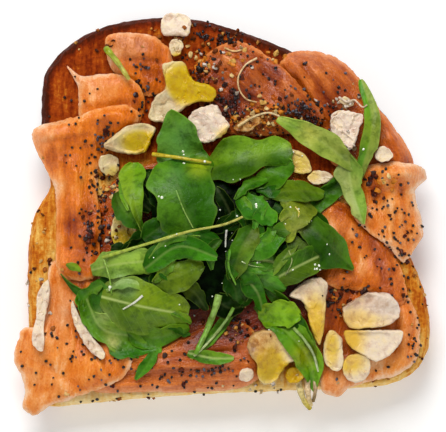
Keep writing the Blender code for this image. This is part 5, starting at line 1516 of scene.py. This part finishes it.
# %% Stalks: paths, radius, colour at each end
# x, y and lift over what lies below, in millimetres; the hanging ones give their true height instead
STALKS = {
    "long_stalk": (
        ((-33.9, -12.3, 0.3), (-20.9, -8.3, 0.5), (-9.4, -4.9, 0.6), (0.6, -2.9, 0.6), (8.4, 0.6, -1.4)),
        0.48, (160, 186, 60), (214, 208, 110)),
    "upper_stalk": (
        ((-20.0, 17.0, 0.2), (-14.3, 16.2, 0.5), (-9.0, 15.4, 0.5), (-3.4, 14.6, -0.2)),
        0.62, (214, 188, 40), (196, 190, 64)),
    "lower_stalk": (
        ((-1.2, -23.0, -0.6), (-2.1, -26.5, 0.4), (-4.6, -33.1, 0.4), (-7.8, -39.8, 0.3)),
        1.05, (150, 186, 92), (120, 178, 50)),
    "forked_stalk": (
        ((3.0, -26.6, -1.0), (1.2, -29.8, 0.0), (-3.1, -35.4, 0.0), (-8.2, -40.4, 0.0)),
        0.5, (110, 160, 50), (206, 222, 160)),
    "loose_stalk": (
        ((-33.3, 47.1, 0.1), (-30.0, 43.1, 0.2), (-26.8, 38.4, 0.1)),
        0.95, (150, 172, 20), (206, 196, 90)),
    "left_rib": (
        ((-33.8, -12.6, 0.1), (-32.0, -18.0, 0.1), (-31.4, -22.6, -0.6)),
        0.34, (150, 186, 76), (120, 164, 50)),
    "middle_rib": (
        ((-13.2, 6.6, -0.3), (-11.0, 1.0, 0.1), (-8.4, -4.0, -0.2)),
        0.26, (120, 168, 70), (150, 184, 90)),
    "fine_root": (
        ((2.0, -10.0, -0.3), (1.6, -15.0, 0.1), (3.6, -20.0, -0.5)),
        0.4, (86, 150, 30), (120, 176, 50)),
}
THREADS = {
    "curl": (
        ((9.6, 44.4, 0.1), (6.4, 42.4, 0.2), (4.4, 39.0, 0.2), (4.6, 35.6, 0.2), (6.6, 32.8, 0.2),
         (9.6, 31.8, 0.1)),
        0.3, (236, 206, 160), (226, 186, 130)),
    "string": (
        ((33.0, 33.2, 0.1), (35.4, 31.8, 0.2), (37.4, 32.4, 0.2), (39.6, 30.4, 0.2), (41.0, 31.0, 0.1)),
        0.32, (240, 220, 200), (226, 200, 170)),
    "shred_top": (
        ((0.4, 47.4, 0.1), (3.0, 46.4, 0.2), (5.4, 46.8, 0.1)),
        0.3, (222, 176, 110), (240, 206, 150)),
    "hanging_left": (
        ((21.0, -46.2, 13.4), (22.2, -50.6, 14.7), (23.2, -53.4, 13.8), (25.0, -55.9, 12.0)),
        1.1, (246, 228, 190), (206, 186, 20)),
    "hanging_middle": (
        ((24.2, -46.4, 13.2), (24.2, -50.4, 14.8), (24.6, -52.8, 14.0), (25.2, -55.0, 12.6)),
        1.0, (246, 216, 190), (232, 206, 140)),
    "hanging_right": (
        ((26.2, -46.6, 13.2), (26.4, -50.4, 14.9), (25.9, -53.8, 13.2)),
        0.7, (226, 196, 160), (130, 104, 50)),
    "shred_scrap": (
        ((4.2, 25.0, 0.2), (8.6, 27.6, 0.3), (12.8, 28.8, 0.2), (16.0, 27.8, 0.1)),
        0.4, (232, 200, 140), (236, 214, 170)),
}
PATH_STEPS = 40
TAPER = 0.35


def lay_paths(name, table):
    """Corners on all paths, joined by edges, each with its thickness and its colour."""
    corners, sides, thickness, tints = [], [], [], []
    for label, (path_points, radius, start, end) in table.items():
        path = round_off(path_points, PATH_STEPS)
        if label.startswith("hanging"):
            rest = path[:, 2].copy()
        else:
            rest = np.maximum(seen.at(path[:, :2]), 0) + path[:, 2] + radius * 0.5
        rest[1:-1] = (rest[:-2] + 2 * rest[1:-1] + rest[2:]) / 4
        share = np.linspace(0, 1, len(path))
        first = len(corners)
        corners += np.column_stack([path[:, :2], np.maximum(rest, radius)]).tolist()
        sides += [(first + k, first + k + 1) for k in range(len(path) - 1)]
        thickness += (radius * MM * (1 - TAPER * share) * (1 + 0.08 * np.sin(17 * share))).tolist()
        share = share[:, None]
        tints += (np.array(paint(*start)) * (1 - share) + np.array(paint(*end)) * share).tolist()
    mesh = bpy.data.meshes.new(name)
    mesh.from_pydata((np.array(corners) * MM).tolist(), sides, [])
    write_values(mesh, "thickness", thickness)
    write_values(mesh, "tint", np.array(tints)[:, :3])
    return mesh


# %% Stalks: sweep a round section along every path
def new_recipe(name, **inputs):
    """A geometry recipe: its tree, its input and its output, with named inputs of the given kinds."""
    tree = bpy.data.node_groups.new(name, "GeometryNodeTree")
    tree.interface.new_socket("Geometry", in_out="INPUT", socket_type="NodeSocketGeometry")
    tree.interface.new_socket("Geometry", in_out="OUTPUT", socket_type="NodeSocketGeometry")
    for label, kind in inputs.items():
        tree.interface.new_socket(label, in_out="INPUT", socket_type="NodeSocket" + kind)
    return tree, tree.nodes.new("NodeGroupInput"), tree.nodes.new("NodeGroupOutput")


def made_with(recipe, mesh, **values):
    """The mesh that the recipe makes from the given one."""
    draft = bpy.data.objects.new(mesh.name, mesh)
    bpy.context.scene.collection.objects.link(draft)
    step = draft.modifiers.new("recipe", "NODES")
    step.node_group = recipe
    for item in recipe.interface.items_tree:
        if item.in_out == "INPUT" and item.name in values:
            step[item.identifier] = values[item.name]
    made = bpy.data.meshes.new_from_object(draft.evaluated_get(bpy.context.evaluated_depsgraph_get()))
    draft.modifiers.remove(step)
    bpy.data.objects.remove(draft)
    return made


sweep, given, result = new_recipe("sweep_along_paths", Sides="Int", Finish="Material")
path = add_node(sweep, "GeometryNodeMeshToCurve", {"Mesh": given.outputs["Geometry"]})
thickness = add_node(sweep, "GeometryNodeInputNamedAttribute", {"Name": "thickness"}, data_type="FLOAT")
wide = add_node(sweep, "GeometryNodeSetCurveRadius", {
    "Curve": path.outputs["Curve"], "Radius": thickness.outputs["Attribute"]
})
section = add_node(sweep, "GeometryNodeCurvePrimitiveCircle", {
    "Resolution": given.outputs["Sides"], "Radius": 1.0
})
swept = add_node(sweep, "GeometryNodeCurveToMesh", {
    "Curve": wide.outputs["Curve"], "Profile Curve": section.outputs["Curve"], "Fill Caps": True
})
if "Scale" in swept.inputs:
    sweep.links.new(thickness.outputs["Attribute"], swept.inputs["Scale"])
smooth = add_node(sweep, "GeometryNodeSetShadeSmooth", {"Geometry": swept.outputs["Mesh"]})
real = add_node(sweep, "GeometryNodeRealizeInstances", {"Geometry": smooth.outputs["Geometry"]})
coated = add_node(sweep, "GeometryNodeSetMaterial", {
    "Geometry": real.outputs["Geometry"], "Material": given.outputs["Finish"]
})
sweep.links.new(coated.outputs["Geometry"], result.inputs["Geometry"])


def tinted_finish(name, scale, roughness, gloss):
    """A finish that takes each piece's own tint, clouded by soft noise."""
    made, tree, shader = new_finish(name)
    clouds = speckle(tree, place_of(tree), scale, 4, 0.6)
    shades = ramp(tree, clouds, (0.3, (176, 168, 150)), (0.55, (240, 238, 232)), (0.75, (255, 255, 255)))
    tree.links.new(
        blend(tree, 1.0, by_name(tree, "tint", "Color"), shades, "MULTIPLY"), shader.inputs["Base Color"]
    )
    shiny, dull = round(255 * roughness), round(255 * min(1, roughness + 0.2))
    polish(tree, shader, clouds, (0.3, shiny), (0.7, dull), gloss)
    relief(tree, shader, clouds, 0.12)
    return made


stalk_finish = tinted_finish("pale_stalk", 700, 0.35, 0.3)
thread_finish = tinted_finish("pale_thread", 900, 0.45, 0.25)
stalks = made_with(sweep, lay_paths("rocket_stalks", STALKS), Sides=10, Finish=stalk_finish)
set_down("rocket_stalks", stalks, stalk_finish, "rocket", "rocket_stalk")
threads = made_with(sweep, lay_paths("pale_threads", THREADS), Sides=8, Finish=thread_finish)
set_down("pale_threads", threads, thread_finish, "cheese")
print("stalks and threads:", len(stalks.polygons) + len(threads.polygons), "faces")

# %% [markdown]
# ## Seeds, crumbs and drops
# Black poppy seeds stick to the salmon, most of them in loose clusters where the cook's fingers let go.
# Golden crumbs lie on the toast, white ones by the cheese, and flat torn bits of skin and crust between the
# slices. Small drops of dressing catch the window's light on the leaves. All of them are one small ball
# each, instanced on points: a ray from above finds where each one lands, and on what.

# %% Seeds: where they land
# x, y, spread along X, spread along Y, and how many
SEED_CLUSTERS = (
    (-32.3, -0.3, 4.3, 9, 66), (-38, 25.4, 6.5, 6, 20), (-33.7, 21.7, 1.8, 2.6, 12),
    (-23.1, 41.7, 1.8, 1.8, 12), (-20.9, 36, 2, 1.5, 12), (-21.7, 29.7, 2, 3, 16), (14, 34, 12, 8, 80),
    (20.6, 28.3, 6, 3.6, 50), (-3, 48.6, 7, 3.5, 40), (-36.6, -37, 8, 12, 50), (-38.9, -30.3, 2.5, 6, 22),
    (-12.3, -45.7, 13, 4, 80), (47.7, -10, 7, 11, 66), (54.2, -39.2, 1.0, 1.6, 6), (54.9, -31, 2, 6, 12),
    (31, -26, 2.6, 3, 20), (24, 28, 4, 2.4, 44), (1.5, 32, 3, 3, 28), (-7.5, 40, 1.8, 2, 18),
    (-6, 52, 4, 1.2, 22), (1.5, 50.5, 3, 1.5, 18), (-33.4, 21.4, 1.6, 1.6, 14), (-25, 24, 2, 4, 6),
    (3.4, -34, 3, 3, 26), (-38, 5, 4, 10, 30), (-9, 42, 4, 3, 14), (50, 2, 5, 8, 22),
    (-29, 10, 3, 1.6, 12),
)
# how often a seed stays where it lands, by the first word of what is there; elsewhere it never does
LANDS_ON = {"slice": 1.0, "toast": 0.75, "broken": 0.06, "spread": 0.04}
STEEPEST = 0.25


def land(clusters, lands_on, seed, first=()):
    """Points on the food for clusters of small things, each with its height and facing."""
    rng = random.Random(seed)
    bpy.context.view_layer.update()
    wanted = [(x, y) for x, y, *_ in first]
    for x, y, wide, high, count in clusters:
        wanted += [(rng.gauss(x, wide), rng.gauss(y, high)) for _ in range(count)]
    found = []
    for k, (x, y) in enumerate(wanted):
        name, place, facing = look_down(x, y)
        if name is None or facing.z < STEEPEST:
            continue
        if k < len(first) or rng.random() < lands_on.get(name.split("_")[0], 0):
            found.append((place, np.array(facing)))
    return found


def bits_mesh(name, landed, least, most, sunk, tints, seed, sizes=()):
    """One corner for each landed bit, with its size and tint; sunk is the share of it below the surface."""
    rng = random.Random(seed)
    size = [rng.uniform(least, most) for _ in landed]
    size[: len(sizes)] = sizes[: len(size)]
    corners = [place + facing * radius * (1 - sunk) for (place, facing), radius in zip(landed, size)]
    mesh = bpy.data.meshes.new(name)
    mesh.from_pydata((np.array(corners) * MM).tolist(), [], [])
    write_values(mesh, "size", np.array(size) * MM)
    write_values(mesh, "tint", np.array([paint(*rng.choice(tints))[:3] for _ in landed]))
    return mesh


# %% Seeds: one small ball on every point
scatter, given, result = new_recipe(
    "scatter_on_points", Sides="Int", Rings="Int", Squash="Vector", Turn="Vector", Seed="Int", Lumpy="Float",
    Finish="Material",
)
ball = add_node(scatter, "GeometryNodeMeshUVSphere", {
    "Segments": given.outputs["Sides"], "Rings": given.outputs["Rings"], "Radius": 1.0
})
squashed = add_node(scatter, "GeometryNodeTransform", {
    "Geometry": ball.outputs["Mesh"], "Scale": given.outputs["Squash"]
})
turned = add_node(scatter, "FunctionNodeRandomValue", data_type="FLOAT_VECTOR")
join_in(scatter, turned.inputs[1], given.outputs["Turn"])
join_in(scatter, turned.inputs[8], given.outputs["Seed"])
size = add_node(scatter, "GeometryNodeInputNamedAttribute", {"Name": "size"}, data_type="FLOAT")
spread = add_node(scatter, "GeometryNodeInstanceOnPoints", {
    "Points": given.outputs["Geometry"], "Instance": squashed.outputs["Geometry"],
    "Rotation": turned.outputs[0], "Scale": size.outputs["Attribute"],
})
real = add_node(scatter, "GeometryNodeRealizeInstances", {"Geometry": spread.outputs["Instances"]})
lumps = add_node(scatter, "ShaderNodeTexNoise", {"Scale": 1500.0, "Detail": 1.0})
middle = {0: lumps.outputs["Color"], 1: (-0.5, -0.5, -0.5)}
centred = add_node(scatter, "ShaderNodeVectorMath", middle, operation="ADD")
pushed = add_node(scatter, "ShaderNodeVectorMath", {0: centred.outputs[0]}, operation="SCALE")
scatter.links.new(given.outputs["Lumpy"], pushed.inputs["Scale"])
uneven = add_node(scatter, "GeometryNodeSetPosition", {
    "Geometry": real.outputs["Geometry"], "Offset": pushed.outputs[0]
})
smooth = add_node(scatter, "GeometryNodeSetShadeSmooth", {"Geometry": uneven.outputs["Geometry"]})
coated = add_node(scatter, "GeometryNodeSetMaterial", {
    "Geometry": smooth.outputs["Geometry"], "Material": given.outputs["Finish"]
})
scatter.links.new(coated.outputs["Geometry"], result.inputs["Geometry"])
FULL_TURN = 2 * math.pi


def strew(name, slot, finish, landed, span, sunk, tints, seed, **shape):
    """One piece made of all that landed, each bit with its own size, tint and turn."""
    points = bits_mesh(name, landed, *span, sunk, tints, seed)
    form = {"Sides": 8, "Rings": 6, "Turn": (FULL_TURN,) * 3, "Finish": finish, **shape}
    set_down(name, made_with(scatter, points, **form), finish, slot)
    print(len(landed), name.replace("_", " "))


# %% Poppy seeds
seed_finish = tinted_finish("poppy_seed", 1500, 0.4, 0.35)
SEED_TINTS = ((30, 20, 20), (22, 18, 26), (44, 30, 26), (60, 52, 60), (96, 92, 104), (34, 22, 16))
strew(
    "poppy_seeds", "salmon", seed_finish, land(SEED_CLUSTERS, LANDS_ON, 5, seed_places),
    (0.3, 0.54), 0.45, SEED_TINTS, 6, Squash=(1.15, 0.9, 0.8), Seed=3,
)

# %% Crumbs of toast
CRUMB_CLUSTERS = (
    (-32, 2, 4, 9, 70), (-54, -2, 3, 12, 40), (-10, 50, 14, 3, 40), (4, -34, 5, 3, 40),
    (57, -24, 3, 12, 40), (40, -52, 12, 2, 40), (-20, -54, 14, 1.6, 30), (32, -27, 3, 4, 20),
    (14, 26, 9, 3, 50), (6, 26.0, 4, 1.8, 60), (13, 29, 3, 2, 40), (-3, 40, 3, 4, 30), (-1, 50, 5, 2, 24),
    (14, 27.4, 4, 1.4, 40), (-30, 9, 3, 1.6, 20),
)
CRUMB_TINTS = ((214, 150, 70), (170, 96, 34), (120, 58, 18), (236, 190, 120), (84, 34, 12))
CRUMB_LANDS_ON = {"slice": 0.6, "toast": 1.0, "broken": 0.15}
crumb_finish = tinted_finish("toast_crumb", 1200, 0.7, 0.15)
strew(
    "toast_crumbs", "toast", crumb_finish, land(CRUMB_CLUSTERS, CRUMB_LANDS_ON, 7),
    (0.25, 0.7), 0.5, CRUMB_TINTS, 8, Squash=(1.2, 0.9, 0.7), Seed=4, Sides=7, Rings=5, Lumpy=1.6 * MM,
)

# %% Crumbs of cheese
WHITE_CLUSTERS = (
    (35.5, 31.5, 2.5, 1.2, 16), (-24.6, 4.6, 1.5, 1.2, 5), (-22.6, -5.4, 1.2, 1.2, 8),
    (-30.2, -6.0, 1.4, 1.0, 5), (-1, 30, 4, 4, 5), (36, 24, 4, 5, 16), (-4, 44, 3, 3, 4),
    (12, -50, 8, 2, 14), (-51, -22, 2, 8, 10), (26, 22, 3, 3, 8), (4.4, 40, 3, 4, 6),
)
WHITE_TINTS = ((236, 222, 208), (240, 228, 220), (226, 200, 150), (214, 200, 186))
WHITE_LANDS_ON = {"slice": 1.0, "toast": 1.0, "broken": 0.6, "rocket": 0.5}
white_finish = tinted_finish("cheese_crumb", 1000, 0.55, 0.25)
strew(
    "cheese_crumbs", "cheese", white_finish, land(WHITE_CLUSTERS, WHITE_LANDS_ON, 9),
    (0.25, 0.7), 0.5, WHITE_TINTS, 10, Squash=(1.3, 0.9, 0.6), Seed=5, Lumpy=2.0 * MM,
)

# %% Torn bits of salmon skin and crust
GOLDEN_CLUSTERS = (
    (6, 26.5, 3.4, 1.8, 34), (14.5, 28, 2.4, 2, 26), (-5.6, 44, 1.8, 1.2, 14), (3.5, 43.5, 2, 2, 10),
    (13, 44, 3, 1.5, 8), (-31, 8, 3, 1.2, 14), (47, 9, 1.6, 1.2, 8), (35, -22.6, 3, 1, 8),
    (-8.6, -41.6, 1, 1, 6),
)
DARK_CLUSTERS = (
    (2.4, 32, 2.0, 2.2, 36), (-6.6, 39.6, 1.6, 2, 20), (24, 27, 3.6, 2.0, 34), (0.5, 49.6, 2.4, 0.8, 14),
    (-31, 11.4, 3, 1.2, 14), (-24.6, 33, 1.0, 4, 10), (-31, -2.5, 3, 5, 26), (4, -30.5, 3, 3, 18),
    (31, -25, 3, 2, 12), (43.6, 6.8, 1.2, 1.2, 10), (42, 10.6, 1.2, 0.8, 6), (-33.6, 21, 1.4, 1.8, 8),
    (38.6, -22.4, 2.4, 0.9, 14), (-18, -45, 8, 3, 10), (50, -12, 3, 6, 8), (-37.8, -5.6, 1.8, 3.6, 18),
)
GOLDEN_TINTS = ((226, 140, 40), (236, 184, 96), (204, 100, 20), (216, 130, 30), (236, 204, 140))
DARK_TINTS = ((78, 22, 6), (52, 14, 6), (104, 40, 12), (66, 44, 36), (40, 26, 22))
bit_finish = tinted_finish("torn_bit", 900, 0.5, 0.2)
for name, clusters, tints, seed in (
    ("golden_bits", GOLDEN_CLUSTERS, GOLDEN_TINTS, 21), ("dark_bits", DARK_CLUSTERS, DARK_TINTS, 24),
):
    strew(
        name, "salmon", bit_finish, land(clusters, {"slice": 0.9, "toast": 0.9}, seed),
        (0.4, 0.8), 0.8, tints, seed + 1, Squash=(1.4, 1.0, 0.45), Seed=seed, Turn=(0.5, 0.5, FULL_TURN),
        Lumpy=1.5 * MM,
    )

# %% Drops of dressing
# x, y and radius in millimetres of the drops that catch the light
DROPS = (
    (-11.4, 17.8, 0.55), (-11.2, 16.9, 0.4), (-11.1, 14.4, 0.6), (-5.2, 14.9, 0.5), (-17.2, 4.6, 0.65),
    (-18.1, 4.9, 0.4), (4.0, -0.6, 0.45), (9.3, 2.7, 0.55), (9.4, 1.9, 0.45), (9.4, 2.3, 0.5),
    (2.9, 9.7, 0.3), (4.9, 9.7, 0.3), (26.0, -14.3, 0.5), (27.1, -14.6, 0.55), (26.5, -15.5, 0.5),
    (27.4, -15.7, 0.45), (25.9, -15.6, 0.35), (30.0, -11.4, 0.4), (29.3, -8.6, 0.3), (9.7, -13.6, 0.4),
    (10.3, -13.7, 0.35), (19.7, -15.8, 0.35), (19.0, 1.9, 0.4), (21.4, 1.4, 0.35), (-31.7, -20.6, 0.6),
    (-32.0, -21.4, 0.5), (-8.2, -29.0, 0.4), (-12.3, -25.6, 0.35), (22.6, 16.6, 0.3), (20.0, 17.6, 0.35),
    (39.9, 18.4, 0.6), (-16.2, -9.0, 0.3), (13.1, -33.0, 0.4), (21.6, -36.2, 0.3), (-19.5, -12.3, 0.3),
    (25.0, -2.0, 0.3), (17.6, -2.8, 0.3), (33.4, 4.4, 0.35),
)
drop_finish, tree, shader = new_finish("dressing_drop")
shine = speckle(tree, place_of(tree), 900, 2, 0.5)
# the near-white colour is partly painted highlight, given to clear drops so that they read as glints; the rest
# of their shine is real gloss
gleam = ramp(tree, shine, (0.3, (206, 216, 176)), (0.7, (246, 248, 236)))
tree.links.new(gleam, shader.inputs["Base Color"])
polish(tree, shader, shine, (0.3, 10), (0.7, 30), 0.8)
shader.inputs["Coat Weight"].default_value = 0.6
relief(tree, shader, shine, 0.05)
places = []
sizes = []
for x, y, radius in DROPS:
    name, place, facing = look_down(x, y)
    if name is not None:
        places.append((place, np.array(facing)))
        sizes.append(0.8 * radius)
fine_drops = land(((-10, -8, 16, 14, 60), (18, -6, 10, 12, 40)), {"rocket": 1.0}, 12)
drop_points = bits_mesh(
    "dressing_drops", places + fine_drops, 0.1, 0.26, 0.6, ((255, 255, 255),), 13, sizes,
)
drops = made_with(
    scatter, drop_points, Sides=12, Rings=8, Squash=(1.0, 1.0, 0.75), Turn=(0.0, 0.0, FULL_TURN), Seed=6,
    Finish=drop_finish,
)
set_down("dressing_drops", drops, drop_finish, "rocket")

# %% Painted gloss streaks on the leaves
# thin pale streaks over the leaves, painted highlights along glossy ribs and edges, in the form of the stalks'
# table
GLOSS_STREAKS = {
    "below_stalk": (
        ((1.0, -4.6, 0.2), (0.8, -7.0, 0.5), (0.7, -9.4, 0.2)),
        0.34, (250, 250, 245), (230, 236, 220)),
    "on_broad": (
        ((-22.6, -23.0, 0.1), (-24.9, -24.9, 0.1), (-28.2, -26.9, 0.1)),
        0.34, (250, 250, 245), (226, 234, 206)),
    "on_curved": (
        ((20.0, -32.4, -0.1), (23.0, -35.6, 0.0), (25.8, -40.0, 0.0), (27.2, -45.0, -0.2)),
        0.5, (160, 192, 100), (212, 224, 180)),
    "on_small": (
        ((5.2, -13.4, 0.0), (8.2, -14.6, 0.1), (11.4, -15.0, 0.0)),
        0.2, (190, 212, 150), (130, 172, 70)),
    "on_right": (
        ((18.6, -10.4, 0.0), (19.4, -13.4, 0.1), (17.6, -17.4, 0.0)),
        0.22, (170, 186, 110), (120, 136, 60)),
    "on_olive": (
        ((20.4, 2.0, 0.0), (21.4, 0.6, 0.1), (21.2, -1.0, 0.0)),
        0.24, (226, 206, 90), (206, 190, 70)),
}
bpy.context.view_layer.update()
seen = HeightMap(np.maximum(look_over(), 0)).softened(1)
streak_finish = tinted_finish("dressing_run", 800, 0.08, 0.7)
gloss_streaks = made_with(sweep, lay_paths("dressing_runs", GLOSS_STREAKS), Sides=8, Finish=streak_finish)
set_down("dressing_runs", gloss_streaks, streak_finish, "rocket")
print(len(sizes), "large drops and", len(fine_drops), "fine ones")

# %% Sizes, and the end
low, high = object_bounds()
